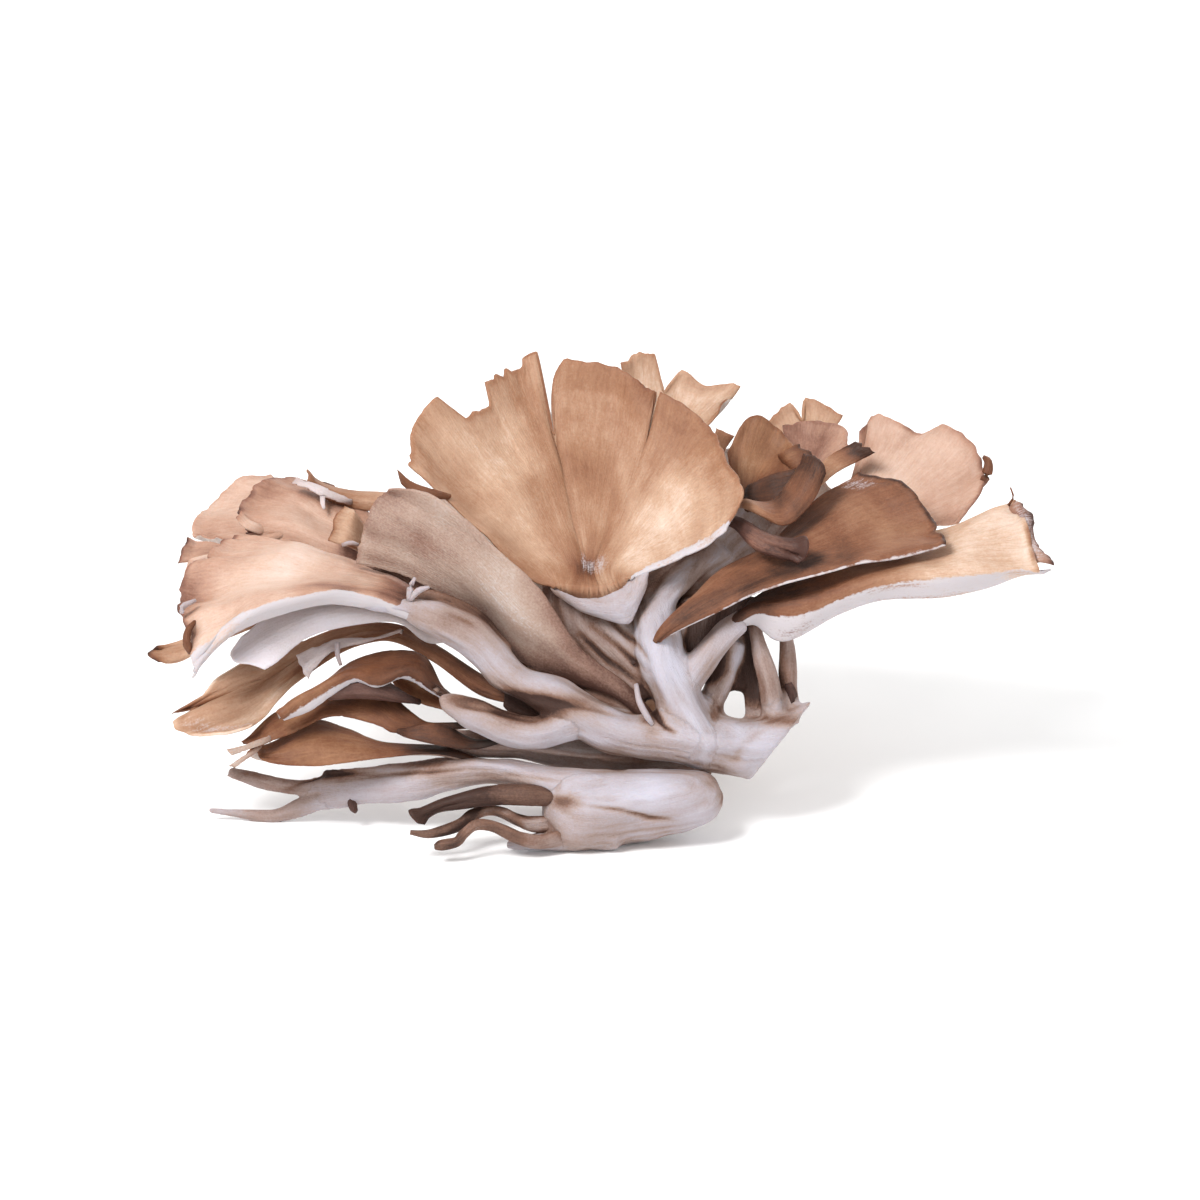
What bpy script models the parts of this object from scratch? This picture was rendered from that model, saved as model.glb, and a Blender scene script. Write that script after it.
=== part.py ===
"""Maitake mushroom: one torn cluster of fronds on a pale, branching stem.

Blender 4.5, metres, +Z up. The cluster lies on a table at Z = 0 and its origin is the middle
of the flat spot under its lowest limb.

Every form is laid out in millimetres in a leaning frame that is easy to draw in: x runs to
the right, depth runs away from the front, height runs up. LEAN then tips the whole cluster
back about X so that it lies as it really rests.
"""

import math

import bmesh
import bpy
import numpy as np
from mathutils import Vector

MM = 0.001                      # the layout is in millimetres, Blender in metres
LEAN = math.radians(20.0)       # how far the drawn front tips back when it rests
REST_POINT = (-2.8, 4.0, 1.08)  # layout point that becomes the origin, on the table
RIM = 0.8                       # thickness of a frond at its rim, mm
SIDES = 12                      # corners of a limb's section
STALK_SIDES = 8                 # corners of a stalk's section
TENDRIL_SIDES = 6               # corners of a tendril's section
STEPS = 2                       # rings made from each section that is given
SEWN = 0.000001                 # points this close are one, in metres
TOWARDS_RIM = 1.5               # how fast a frond thins from its root to its rim
TOWARDS_SIDES = 2.5             # how late it thins towards its two side edges

COLLECTION = "maitake_mushroom"

FLESH = (0.66, 0.60, 0.62)      # pale stem and limbs
PORES = (0.70, 0.62, 0.55)      # underside
TAN = (0.52, 0.33, 0.20)        # upper side
PINK = (0.66, 0.44, 0.34)       # upper side of the thinner fronds
BROWN = (0.24, 0.13, 0.08)      # fronds in the shade of others
DARK = (0.12, 0.06, 0.05)       # shrivelled edges and tendrils

# ---------------------------------------------------------------------------------------
# Layout. A limb is a row of sections: one edge (x, height), the other edge (x, height),
# then depth and half its thickness front to back. A wall is a thin limb, the tissue that
# closes the hollow between two others.

STEM_LIMBS = {
    "front_left": [
        (35.0, 24.5, 24.5, 11.3, 9.0, 7.0),
        (27.0, 22.0, 21.0, 12.4, 8.0, 7.5),
        (19.5, 22.5, 17.5, 13.6, 6.5, 7.0),
        (13.0, 23.5, 12.0, 14.8, 4.5, 6.0),
        (6.0, 22.8, 5.5, 15.8, 3.0, 5.2),
        (0.0, 25.0, -1.0, 17.3, 2.0, 4.6),
        (-6.5, 28.6, -8.0, 21.5, 1.2, 4.0),
        (-11.7, 30.2, -14.0, 25.3, 0.6, 3.4),
        (-15.3, 33.8, -17.7, 27.5, 0.0, 3.1),
        (-20.0, 38.7, -21.7, 31.8, -1.0, 2.8),
        (-25.0, 41.0, -27.0, 35.2, -2.0, 2.4),
        (-28.7, 41.7, -30.8, 37.4, -3.0, 1.9),
        (-31.6, 41.8, -33.0, 39.0, -3.8, 1.4),
    ],
    "trunk": [
        (11.0, 18.0, 22.0, 18.0, 5.5, 5.5),
        (8.5, 26.0, 17.5, 25.0, 5.0, 5.5),
        (6.2, 31.0, 14.5, 31.5, 4.5, 4.8),
        (6.0, 36.0, 13.5, 36.5, 4.5, 3.8),
        (6.0, 39.5, 12.5, 40.5, 5.5, 3.0),
        (8.0, 43.5, 14.5, 43.5, 7.5, 2.4),
        (13.0, 48.0, 18.0, 46.5, 9.5, 1.8),
        (19.5, 51.3, 22.5, 48.8, 11.0, 1.3),
    ],
    "right_fork": [
        (12.0, 30.0, 15.0, 25.0, 4.5, 3.4),
        (15.0, 33.0, 18.3, 29.0, 3.5, 2.8),
        (19.0, 37.5, 21.5, 33.5, 3.0, 2.2),
        (23.0, 40.0, 24.6, 36.7, 3.0, 1.7),
    ],
    "ridge": [
        (10.5, 27.0, 5.5, 23.0, 7.0, 3.0),
        (8.5, 32.5, 2.4, 27.5, 7.2, 2.8),
        (6.5, 37.5, -1.6, 33.8, 7.4, 2.4),
        (2.5, 40.5, -5.4, 38.6, 7.8, 1.9),
        (-2.0, 42.0, -7.6, 40.9, 8.6, 1.3),
    ],
    "stub": [
        (-3.5, 25.0, -4.0, 18.5, 1.0, 3.0),
        (-9.5, 22.3, -9.5, 17.2, 0.0, 3.0),
        (-15.0, 23.2, -15.0, 17.2, -0.8, 2.7),
        (-20.7, 25.2, -20.7, 19.8, -1.6, 2.2),
        (-25.4, 26.0, -25.2, 22.6, -2.4, 1.6),
        (-26.6, 25.6, -26.5, 24.2, -2.7, 0.8),
    ],
    "stub_wall": [
        (-3.5, 25.0, -4.0, 19.5, 3.4, 2.0),
        (-8.6, 27.4, -9.0, 20.6, 4.0, 1.6),
        (-12.6, 29.4, -13.2, 21.4, 4.2, 1.3),
        (-15.6, 31.0, -16.2, 23.6, 4.0, 0.8),
    ],
    "groove_wall": [
        (-14.5, 34.0, -16.0, 30.5, 1.0, 0.9),
        (-19.6, 40.0, -21.2, 35.5, 0.8, 0.8),
        (-25.4, 42.9, -26.6, 38.5, -0.2, 0.7),
        (-30.4, 43.9, -31.2, 40.0, -1.0, 0.7),
    ],
    "recess_wall": [
        (13.5, 30.0, 18.6, 30.0, 7.0, 1.5),
        (13.0, 36.0, 19.6, 36.0, 7.6, 1.5),
        (13.5, 42.0, 21.5, 42.0, 8.4, 1.1),
    ],
    "dark_core": [
        (24.0, 20.5, 29.0, 20.0, 10.5, 1.6),
        (23.8, 26.5, 28.2, 26.0, 10.5, 1.6),
        (22.6, 32.0, 27.4, 31.0, 10.5, 1.6),
        (22.0, 38.5, 26.8, 37.5, 9.8, 1.3),
        (22.0, 42.5, 26.4, 41.5, 9.2, 0.9),
    ],
}

# A stalk is a path of (x, depth, height, radius).
STEM_STALKS = {
    "inner_stalk": [
        (29.3, 8.0, 19.5, 2.2), (28.8, 7.5, 24.0, 2.0), (27.9, 6.8, 28.5, 1.8),
        (26.5, 6.4, 33.5, 1.5), (25.7, 6.8, 37.8, 1.2),
    ],
    "outer_stalk": [
        (31.5, 9.5, 21.0, 1.8), (31.5, 10.0, 26.0, 1.6), (31.3, 10.0, 31.0, 1.5),
        (31.1, 9.6, 35.0, 1.4), (30.7, 9.2, 38.5, 1.2),
    ],
    "grey_stalk": [
        (18.0, 8.5, 20.0, 2.4), (18.7, 8.6, 25.0, 2.2), (20.6, 8.2, 30.0, 2.2),
        (22.6, 7.4, 35.0, 1.8),
    ],
    "rear_low_limb": [
        (16.0, 6.0, 20.0, 5.5), (14.5, 11.0, 22.0, 4.6), (13.0, 16.0, 24.0, 3.4),
        (12.5, 20.0, 25.0, 2.4),
    ],
    "rear_high_limb": [
        (10.0, 6.0, 34.0, 4.2), (8.0, 10.5, 38.5, 3.6), (4.0, 14.0, 42.5, 2.8),
        (0.0, 16.5, 45.5, 1.9),
    ],
    "rear_right_limb": [
        (11.5, 7.0, 36.0, 3.2), (15.0, 12.0, 40.5, 2.8), (20.0, 15.0, 45.5, 2.2),
        (24.0, 16.5, 50.0, 1.5),
    ],
    "rear_left_limb": [
        (-4.0, 5.5, 22.5, 2.6), (-11.5, 10.6, 29.5, 2.1), (-23.0, 12.4, 40.0, 1.8),
        (-31.0, 13.6, 47.0, 1.5), (-36.6, 14.0, 51.0, 1.1),
    ],
    "far_left_limb": [
        (-27.0, 12.6, 43.5, 1.4), (-32.0, 16.5, 47.0, 1.3), (-37.5, 19.5, 50.0, 1.1),
        (-42.6, 21.5, 52.5, 0.8),
    ],
    "behind_cap_limb": [
        (16.0, 13.0, 41.5, 1.8), (14.5, 16.5, 48.5, 1.5), (12.0, 20.0, 56.0, 1.3),
        (10.2, 22.9, 63.0, 1.0),
    ],
    "small_tip_limb": [
        (14.3, 16.8, 49.0, 1.2), (16.4, 17.6, 55.0, 1.0), (18.4, 18.3, 61.2, 0.7),
    ],
    "high_right_limb": [
        (23.0, 16.0, 48.5, 1.6), (27.8, 15.0, 54.0, 1.3), (31.5, 16.5, 58.0, 1.1),
        (34.2, 18.9, 61.4, 0.8),
    ],
    "lobe_limb": [
        (30.5, 16.0, 57.0, 1.1), (34.0, 21.0, 59.6, 0.9), (34.8, 24.2, 63.0, 0.7),
    ],
    "brown_frond_limb": [
        (26.2, 15.5, 52.0, 1.2), (25.0, 13.6, 54.8, 1.0), (24.7, 12.2, 56.6, 0.8),
    ],
    "pale_right_limb": [
        (22.0, 15.6, 47.5, 1.6), (29.0, 14.6, 51.0, 1.3), (34.5, 15.0, 53.0, 1.1),
        (39.4, 15.9, 53.7, 0.9),
    ],
}

LOWER_LIMBS = {
    "butt": [
        (20.4, 9.6, 20.4, 7.8, 3.0, 1.6),
        (18.6, 12.3, 18.8, 5.2, 3.0, 4.4),
        (14.5, 13.6, 14.8, 3.3, 3.0, 6.4),
        (6.0, 13.4, 6.0, 1.6, 2.6, 7.0),
        (-1.0, 13.0, -1.0, 0.4, 2.2, 7.0),
        (-6.5, 12.6, -6.5, -0.1, 2.0, 6.2),
        (-9.4, 11.5, -9.0, 1.2, 2.0, 4.2),
    ],
    "long_frond": [
        (2.0, 13.6, 2.0, 7.0, 3.0, 5.0),
        (-8.0, 14.3, -9.0, 8.6, 2.5, 4.4),
        (-16.7, 15.5, -16.7, 10.9, 3.5, 3.2),
        (-25.0, 15.6, -25.0, 9.8, 5.0, 2.5),
        (-31.5, 14.8, -31.5, 8.3, 7.0, 2.0),
        (-40.0, 14.0, -40.0, 7.5, 9.5, 1.6),
        (-46.0, 13.3, -47.0, 6.6, 11.5, 1.3),
    ],
    "upper_tongue": [
        (-43.0, 13.0, -44.0, 8.8, 11.5, 1.2),
        (-50.5, 11.9, -52.0, 9.3, 12.5, 1.0),
        (-57.0, 13.2, -57.5, 10.4, 14.0, 0.9),
        (-61.6, 13.8, -62.3, 12.2, 15.0, 0.6),
    ],
    "lower_tongue": [
        (-44.0, 11.0, -45.0, 7.2, 11.0, 1.2),
        (-49.8, 9.0, -50.0, 5.4, 13.0, 1.0),
        (-54.5, 6.9, -55.5, 4.5, 14.0, 0.9),
        (-61.0, 6.9, -62.0, 5.5, 14.0, 0.7),
        (-65.2, 7.0, -65.4, 6.2, 13.5, 0.5),
    ],
}

CAP_STALK = [
    (-8.6, 44.0, -7.6, 42.4, 3.0, 0.7),
    (-3.5, 44.6, -3.3, 39.8, 3.6, 1.6),
    (2.3, 45.0, 2.3, 37.8, 3.0, 1.9),
    (5.6, 45.0, 5.3, 37.6, 2.0, 1.0),
]

# A frond is a row of rails, each a few (x, depth, height) points from its root to its rim.
# root and rim are its thickness at both ends, mm. cells counts its faces across and along.
# A notch is (place across, depth of the cut, half its width), as shares of the frond.
# A wave is (height in mm, waves across, phase), and grows towards the rim.

FRONDS = {
    "big_cap": dict(
        root=2.6, rim=RIM, cells=(26, 10), colour=TAN,
        notches=[(5 / 26, 0.10, 0.04), (11 / 26, 0.27, 0.04), (17 / 26, 0.17, 0.04)],
        wave=(0.4, 4.0, 0.4),
        rails=[
            [(-8, 2.5, 43.9), (-11.5, 2, 45), (-17, 1, 50.5), (-22, 1, 55), (-27, 1, 59.5), (-32, 2, 64)],
            [(-7, 2.2, 43.8), (-8.5, 4.5, 47), (-13.5, 6, 51.5), (-19, 6.5, 56.5), (-25, 6, 62),
             (-31.4, 4, 69.6)],
            [(-6, 2, 43.6), (-6, 5.5, 47), (-10.5, 8.2, 53.5), (-15.5, 9.5, 60), (-21, 9.5, 67),
             (-27, 8, 75.5)],
            [(-5, 1.8, 43.4), (-4.5, 6, 47), (-8, 10, 55.5), (-12, 13, 63.5), (-16, 14.5, 71),
             (-19.6, 14, 78.6)],
            [(-4, 1.6, 43.2), (-3.5, 6.3, 47), (-6, 11, 56.5), (-9, 15, 65.5), (-12, 17.5, 73.5),
             (-14.6, 18, 81)],
            [(-3, 1.5, 43.1), (-2.8, 6.5, 47), (-4.6, 11.5, 56.5), (-6.8, 16, 66), (-9, 18.5, 74.5),
             (-11, 19, 83)],
            [(-2, 1.4, 43), (-2.2, 6.5, 47), (-3.2, 11.5, 56.5), (-4.7, 16, 66), (-6.4, 18.5, 74.5),
             (-8, 19, 82.7)],
            [(-1, 1.3, 43), (-1.4, 6.3, 47), (-0.4, 11.3, 56), (1, 15.8, 65), (2.3, 18, 73.5),
             (3.2, 18, 80.6)],
            [(0, 1.2, 43), (-0.6, 6, 47), (1.6, 10.8, 55), (4.2, 14.8, 63.5), (6.6, 16.5, 71),
             (8.4, 16, 77)],
            [(1, 1.2, 43.2), (0.2, 5.8, 47), (2.8, 10, 54), (5.8, 13.6, 62), (8.4, 15.2, 69.5),
             (10.2, 15, 76.4)],
            [(2, 1.2, 43.6), (1.2, 5.5, 47), (4.6, 8.6, 52.5), (9, 11, 60), (13.4, 11.6, 66.5),
             (17.2, 10, 72)],
            [(3, 1.2, 44.1), (2.8, 5, 47), (7, 7, 51.5), (12, 8, 57.5), (16.6, 7.4, 62.5),
             (20.6, 4.5, 66)],
            [(4, 1.3, 44.8), (5, 4, 47), (9.6, 4.4, 49.8), (14.5, 4, 53.2), (19.5, 2, 56.6),
             (23.6, -1, 59.5)],
            [(5.5, 1.6, 45.4), (8, 1.5, 46.3), (11.8, 0.8, 47.6), (15, 0, 49.2), (18.2, -1, 51),
             (21, -2, 53)],
        ]),
    "pale_frond": dict(
        root=2.4, rim=RIM, cells=(8, 10), colour=PORES, wave=(0.5, 1.5, 0.0),
        rails=[
            [(4.4, 1.2, 27.6), (-3.5, 0, 34), (-10, -3, 43.5), (-18, -4, 51), (-27.5, -4, 59),
             (-35, -2, 60)],
            [(4, 1.6, 27), (-5, 1, 32.5), (-12, -1, 39), (-20, -1.5, 47), (-30, -1, 54),
             (-37, 0, 58.5)],
            [(3.4, 2.2, 26.4), (-6, 2.6, 31.2), (-13.6, 2, 36.5), (-21, 1.6, 43), (-31.5, 1, 50),
             (-39.5, 2, 53.6)],
            [(2.6, 3.4, 25.6), (-7, 5.2, 28.4), (-14, 5.2, 32.6), (-20, 4.6, 39.3), (-31, 2.6, 45),
             (-40.6, 2.6, 47.8)],
        ]),
    "left_front_frond": dict(
        root=2.6, rim=RIM, cells=(10, 10), colour=PINK, wave=(0.7, 3.0, 0.3),
        rails=[
            [(-33.0, 5.4, 44.6), (-37, 7.2, 46.4), (-42, 8.6, 48.4), (-50, 10.6, 51), (-61, 11, 52.5)],
            [(-33.6, 1.0, 43.6), (-38, 1.4, 45), (-44, 2, 46.4), (-53.5, 3, 48.2), (-66.5, 4, 48.5)],
            [(-34.2, -3.0, 42.3), (-38.5, -4, 43.5), (-45, -5, 44.5), (-56, -5, 43.5), (-70, -3, 41.5)],
            [(-34.6, -5, 41.2), (-39, -7, 42.6), (-46, -10, 43.2), (-57.5, -12, 40.5), (-67.5, -10, 33.5)],
            [(-34.8, -4.4, 39.4), (-39.2, -5.6, 40.6), (-46.5, -8, 40.8), (-59, -9.5, 36.5),
             (-68, -8, 29.5)],
        ]),
    "upper_left_frond": dict(
        root=2.0, rim=RIM, cells=(9, 7), colour=PINK, wave=(0.9, 2.5, 1.0),
        rails=[
            [(-40.5, 12.2, 48), (-45.5, 13.6, 49), (-52.5, 15, 51), (-59.5, 15.4, 53)],
            [(-39.5, 12.6, 49.8), (-46, 14.8, 52), (-52.5, 16.6, 54.5), (-60.5, 18, 55.5)],
            [(-39, 13, 51), (-45, 17, 54.5), (-51, 20, 58), (-58.5, 21, 59.5)],
            [(-38.5, 15, 52), (-42.5, 19, 56.5), (-47, 23, 59.5), (-52.5, 25, 62)],
            [(-37.5, 17, 53.5), (-39, 20, 57), (-41, 24, 59), (-45, 27, 61)],
        ]),
    "back_left_frond": dict(
        root=1.6, rim=RIM, cells=(7, 5), colour=PINK, wave=(0.6, 2.0, 0.5),
        rails=[
            [(-44, 19, 50.5), (-55, 21, 51.5), (-64.5, 21, 51.5)],
            [(-44, 20, 51.5), (-56.5, 23, 53), (-68.5, 25, 52.5)],
            [(-43.5, 21, 53), (-56.5, 26, 56.5), (-67, 29, 57)],
            [(-43, 23, 54), (-54, 28, 58), (-62.5, 32, 61)],
            [(-42.5, 24, 55.5), (-50, 30, 59), (-55.5, 34, 62)],
        ]),
    "leaf_flap": dict(
        root=1.4, rim=RIM, cells=(4, 4), colour=TAN,
        rails=[
            [(-41.6, 8.4, 50.4), (-43.2, 8.2, 51), (-45.4, 8.6, 51.5)],
            [(-41.2, 9.4, 53.4), (-42.4, 9.6, 54.4), (-44.6, 10.6, 54.6)],
            [(-40.6, 10.6, 56.2), (-41.2, 11, 56.8), (-42.6, 12.4, 57.3)],
        ]),
    "small_fold": dict(
        root=1.2, rim=RIM, cells=(4, 4), colour=PINK,
        rails=[
            [(-61.5, 14, 49.5), (-66, 13, 48.8), (-70.5, 12, 47.5)],
            [(-61.5, 15.5, 51), (-65.5, 16, 51.5), (-69, 16, 51.5)],
        ]),
    "left_tongue": dict(
        root=1.6, rim=RIM, cells=(4, 10), colour=BROWN, wave=(0.5, 1.0, 0.0),
        rails=[
            [(-47, 3.4, 43.2), (-55, 3.6, 41.6), (-64, 2.4, 38), (-69, 1.5, 35.2), (-73.6, 1, 33.9)],
            [(-47.4, 2.9, 41.4), (-55, 3, 39.6), (-64.2, 1.6, 36), (-69.3, 0.8, 33.3), (-75.2, 0.5, 32.6)],
            [(-47.8, 2.7, 39.8), (-55, 2.6, 38), (-64.5, 1, 34.2), (-69.6, 0.5, 31.5), (-73.4, 0.2, 31.2)],
        ]),
    "left_under_frond": dict(
        root=2.0, rim=RIM, cells=(6, 10), colour=FLESH, wave=(0.3, 1.0, 0.0),
        rails=[
            [(-28.5, 4, 37), (-35, 3, 40.5), (-45, 1, 42), (-54, -1, 39.5), (-60.5, -1.5, 34.5)],
            [(-28.5, 3, 36), (-35, 1, 39.5), (-46, -2, 39.5), (-54.5, -3.5, 36), (-61.2, -3, 31.5)],
            [(-28.5, 3, 34.5), (-34.5, 1, 38), (-47, -2, 36), (-54, -4.2, 31), (-58.4, -4, 28.2)],
        ]),
    "pore_flap": dict(
        root=1.0, rim=RIM, cells=(4, 6), colour=PORES,
        rails=[
            [(-36.7, 4.0, 35.4), (-44.2, 3, 35.2), (-50.7, 2.5, 32.3)],
            [(-38, 3.5, 34.8), (-44.8, 2, 33), (-48.5, 1.2, 28.2)],
        ]),
    "lower_left_fan": dict(
        root=2.0, rim=RIM, cells=(9, 11), colour=TAN, wave=(0.7, 2.5, 0.8),
        rails=[
            [(-17.8, 6.5, 28.2), (-26.5, 7, 33.8), (-33.3, 8, 37.6), (-42.5, 9, 37.2),
             (-52.5, 9, 33.7), (-61.3, 8, 31)],
            [(-18.5, 6.2, 27.3), (-27.2, 6.5, 33), (-34.2, 7.3, 36.7), (-43.7, 7.5, 35),
             (-55, 6, 29.7), (-67, 4, 24.6)],
            [(-19.3, 5.9, 26.7), (-27.8, 6.2, 32.3), (-35.3, 6.6, 35.8), (-45, 6, 33.3),
             (-55.8, 3.5, 25.8), (-69.9, 1, 19.8)],
            [(-20.2, 5.6, 26), (-28.3, 6, 31.7), (-36.7, 6, 35), (-46, 4.5, 31),
             (-54.2, 2, 24.3), (-60.4, -1, 17.4)],
        ]),
    "middle_frond": dict(
        root=1.6, rim=RIM, cells=(6, 10), colour=BROWN, wave=(0.3, 1.0, 0.0),
        rails=[
            [(-25.9, 2.5, 27), (-29, 2.5, 32.2), (-34.3, 3, 33.3), (-41.7, 2.5, 31.2),
             (-48.5, 0.5, 25.8), (-53.2, -1.5, 21.9)],
            [(-26.4, 1.6, 26.6), (-30, 0.5, 31), (-34.7, 0.5, 31.3), (-41.4, 0, 30.2),
             (-48.4, -1, 26), (-53.1, -2, 22.1)],
            [(-27.4, 0.6, 27), (-31.5, -1, 30), (-36.7, -2, 28.4), (-41.3, -2.5, 29.5),
             (-48.3, -3, 26), (-52.9, -2.6, 22.2)],
            [(-28, 1.2, 26.2), (-32.5, 0, 28.6), (-37, -1, 27.2), (-41.2, -1.5, 27.9),
             (-47.5, -2.2, 23.6), (-52.4, -2.4, 21.5)],
        ]),
    "hollow_leaf": dict(
        root=1.2, rim=RIM, cells=(7, 5), colour=DARK,
        rails=[
            [(-26.2, 5.4, 26.6), (-29.8, 5.6, 29.6), (-35, 5.2, 31.2)],
            [(-26.2, 7, 25), (-30, 8.4, 27.4), (-35.6, 7.4, 29.4)],
            [(-26.4, 5.6, 23.4), (-30.2, 6.4, 24.6), (-35, 6.8, 28.2)],
        ]),
    "arched_leaf": dict(
        root=1.2, rim=RIM, cells=(5, 12), colour=BROWN, wave=(0.3, 1.0, 0.5),
        rails=[
            [(-27.5, 4, 21.2), (-30, 4.2, 22.2), (-33.3, 5.0, 24.8), (-37, 6.3, 27.3),
             (-45, 7, 27), (-52.5, 5, 24), (-59.6, 1.2, 18)],
            [(-28, 3.2, 20), (-31, 3, 20), (-34.5, 2.5, 19.7), (-38, 3, 21.2),
             (-44.5, 3, 22.3), (-51.5, 1.6, 19.3), (-57.5, 0.4, 17)],
        ]),
    "lower_brown_blade": dict(
        root=1.6, rim=RIM, cells=(6, 10), colour=BROWN, wave=(0.3, 1.0, 0.0),
        rails=[
            [(-27, 5.0, 17.4), (-36, 5, 18), (-42, 5.5, 20.2), (-47.5, 5.5, 21.6), (-53.5, 4, 18.8),
             (-57.3, 2.6, 17)],
            [(-27, 3.6, 16.8), (-36, 3, 17), (-42, 2.6, 17.6), (-47.5, 2.2, 18), (-53.6, 1.6, 16.6),
             (-58.6, 1.2, 16)],
            [(-27, 2.4, 16.4), (-35, 1, 15.8), (-41, 0.6, 14.8), (-47, 0.4, 14.1), (-53.5, 0.4, 14.4),
             (-57.8, 0.6, 15.8)],
        ]),
    "pointed_leaf": dict(
        root=1.2, rim=RIM, cells=(4, 6), colour=DARK,
        rails=[
            [(-20.6, 1.6, 18.6), (-25.5, 1.0, 20.8), (-29, 0.6, 21.3), (-33.6, 0.2, 19.9)],
            [(-20.6, 0.6, 17.0), (-25, -0.4, 17.2), (-29.5, -0.6, 18.2), (-33.8, 0, 19.4)],
        ]),
    "wrinkled_web": dict(
        root=1.0, rim=RIM, cells=(8, 12), colour=FLESH, wave=(0.2, 1.0, 0.0),
        rails=[
            [(11, 12, 19), (0, 8.8, 20), (-14, 6.2, 20.2), (-25.5, 6.6, 19.8)],
            [(11, 11.6, 17), (0, 6.8, 17.2), (-14, 4.2, 18.6), (-25.5, 5.6, 18.9)],
            [(11, 11.4, 15.4), (0, 5, 15.5), (-14, 2.9, 17.1), (-25.5, 4.9, 18.2)],
            [(11, 12, 14), (0, 7, 14.3), (-14, 4.8, 16.7), (-25.5, 5.8, 17.6)],
            [(11, 12.6, 12.6), (0, 9.8, 12.8), (-14, 7.8, 15), (-25.5, 8, 16.6)],
        ]),
    "curly_strap": dict(
        root=2.0, rim=RIM, cells=(6, 12), colour=BROWN, wave=(0.3, 2.0, 0.0),
        rails=[
            [(-11.7, -1.2, 11), (-18, -1.6, 10.8), (-24.5, -2.2, 9.4), (-28.5, -2.8, 7.8),
             (-31.6, -3.4, 6.2)],
            [(-11.2, -3, 9.3), (-18.6, -3.6, 9.2), (-25, -4.2, 8), (-28.4, -4.6, 6.8), (-31, -4.8, 5.4)],
            [(-11.2, -2.4, 7.6), (-19, -3, 7.6), (-25, -3.4, 6.9), (-27.6, -3.8, 5.8), (-29.6, -3.8, 4.6)],
        ]),
    "right_tan_frond": dict(
        root=2.4, rim=RIM, cells=(10, 11), colour=TAN, notches=[(0.80, 0.07, 0.11)],
        wave=(0.5, 2.0, 0.0),
        rails=[
            [(10.2, -1, 37.5), (15, 0, 42), (20, 3, 46.5), (26.5, 7, 50), (35, 11, 57.5),
             (44.5, 14, 63.5)],
            [(10.8, -1.3, 37), (16.5, -1, 41.5), (24, 1, 46), (33, 4, 51), (41.5, 7, 56.5),
             (51, 9, 60.5)],
            [(11.4, -1.6, 36.5), (18, -2, 41), (26.5, -1.5, 44.5), (36, 0, 48.5), (45, 2, 51.5),
             (56, 4, 54)],
            [(12, -2, 36), (20, -3, 40), (26.5, -4, 43), (37.5, -4.5, 46.5), (45, -4, 48),
             (57.5, -2, 50)],
        ]),
    "far_right_frond": dict(
        root=2.2, rim=RIM, cells=(9, 11), colour=TAN, wave=(0.5, 2.0, 0.7),
        rails=[
            [(25.6, 4.5, 41.8), (33.5, 5.5, 46.4), (45, 7.5, 50.5), (56.5, 10, 53.5), (69.5, 11, 58)],
            [(25.6, 3, 40.8), (33.5, 2, 43.4), (45, 1.8, 47.4), (57, 2.4, 49.8), (71.5, 4, 53)],
            [(25.4, 1.5, 40), (33.5, -1, 40.7), (46, -3, 45), (58, -4, 46.7), (72.5, -3, 47.4)],
            [(25.2, 3, 37.6), (31, 2, 35), (45, -0.5, 41.3), (61, -1.5, 43), (74.8, -1, 46.9)],
        ]),
    "pale_right_frond": dict(
        root=1.8, rim=RIM, cells=(12, 7), colour=PINK, wave=(0.6, 3.0, 0.2),
        rails=[
            [(39, 17, 55), (42, 22, 62), (43.7, 26, 69.7)],
            [(40, 17, 55), (44.5, 23, 64), (46.9, 27, 72.7)],
            [(40.5, 17, 55), (48, 22, 63.5), (53, 26, 70)],
            [(41, 16.5, 54.5), (51, 21, 62), (58.7, 24, 70.6)],
            [(41.5, 16, 54), (54, 19, 58.5), (63.8, 21, 65.6)],
            [(42, 15.5, 53.5), (55, 17.4, 56), (64, 18.8, 60)],
            [(42.5, 15, 53), (54, 16.5, 53.8), (60, 17, 54.3)],
        ]),
    "brown_right_frond": dict(
        root=1.8, rim=RIM, cells=(8, 8), colour=BROWN, wave=(0.5, 2.0, 0.0),
        rails=[
            [(23.6, 12, 58.5), (22.3, 15, 62), (21.2, 17, 66)],
            [(24, 12.3, 58), (23.5, 16, 64), (25, 20, 72)],
            [(24.6, 12.3, 58), (26.5, 17, 64.5), (29.5, 20, 70.5)],
            [(25.2, 12, 58), (28.5, 15, 63), (32.6, 17, 67)],
            [(25.8, 11, 57.5), (30, 12, 60.8), (34.2, 13, 64.5)],
        ]),
    "curled_ribbon": dict(
        root=1.4, rim=RIM, cells=(6, 10), colour=TAN,
        rails=[
            [(24, 4, 58.3), (28.3, 5, 58.3), (31.5, 7, 61.3), (34.5, 9, 65.5)],
            [(24.5, 2.4, 57.5), (29.5, 2, 56), (33.5, 3, 59.5), (36.3, 6, 65)],
            [(25, 2.6, 56.6), (30.5, 1.4, 54), (35, 2.4, 57.5), (37.5, 5, 62.5)],
        ]),
    "shrivelled_leaf": dict(
        root=1.4, rim=RIM, cells=(6, 8), colour=DARK, wave=(0.5, 2.0, 0.3),
        rails=[
            [(22.5, 3.4, 55.6), (27.5, -0.4, 53), (34, -2, 51)],
            [(22.5, 2.8, 54.6), (27, -2.4, 51.6), (34.5, -3.6, 49)],
            [(22.5, 3.2, 53.6), (26.5, -1.4, 49.8), (33, -2.4, 47.6)],
        ]),
    "ridge_frond": dict(
        root=1.4, rim=RIM, cells=(4, 6), colour=TAN,
        rails=[
            [(34.5, 16, 61), (38, 18.5, 65.5), (43, 19.5, 68)],
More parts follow.
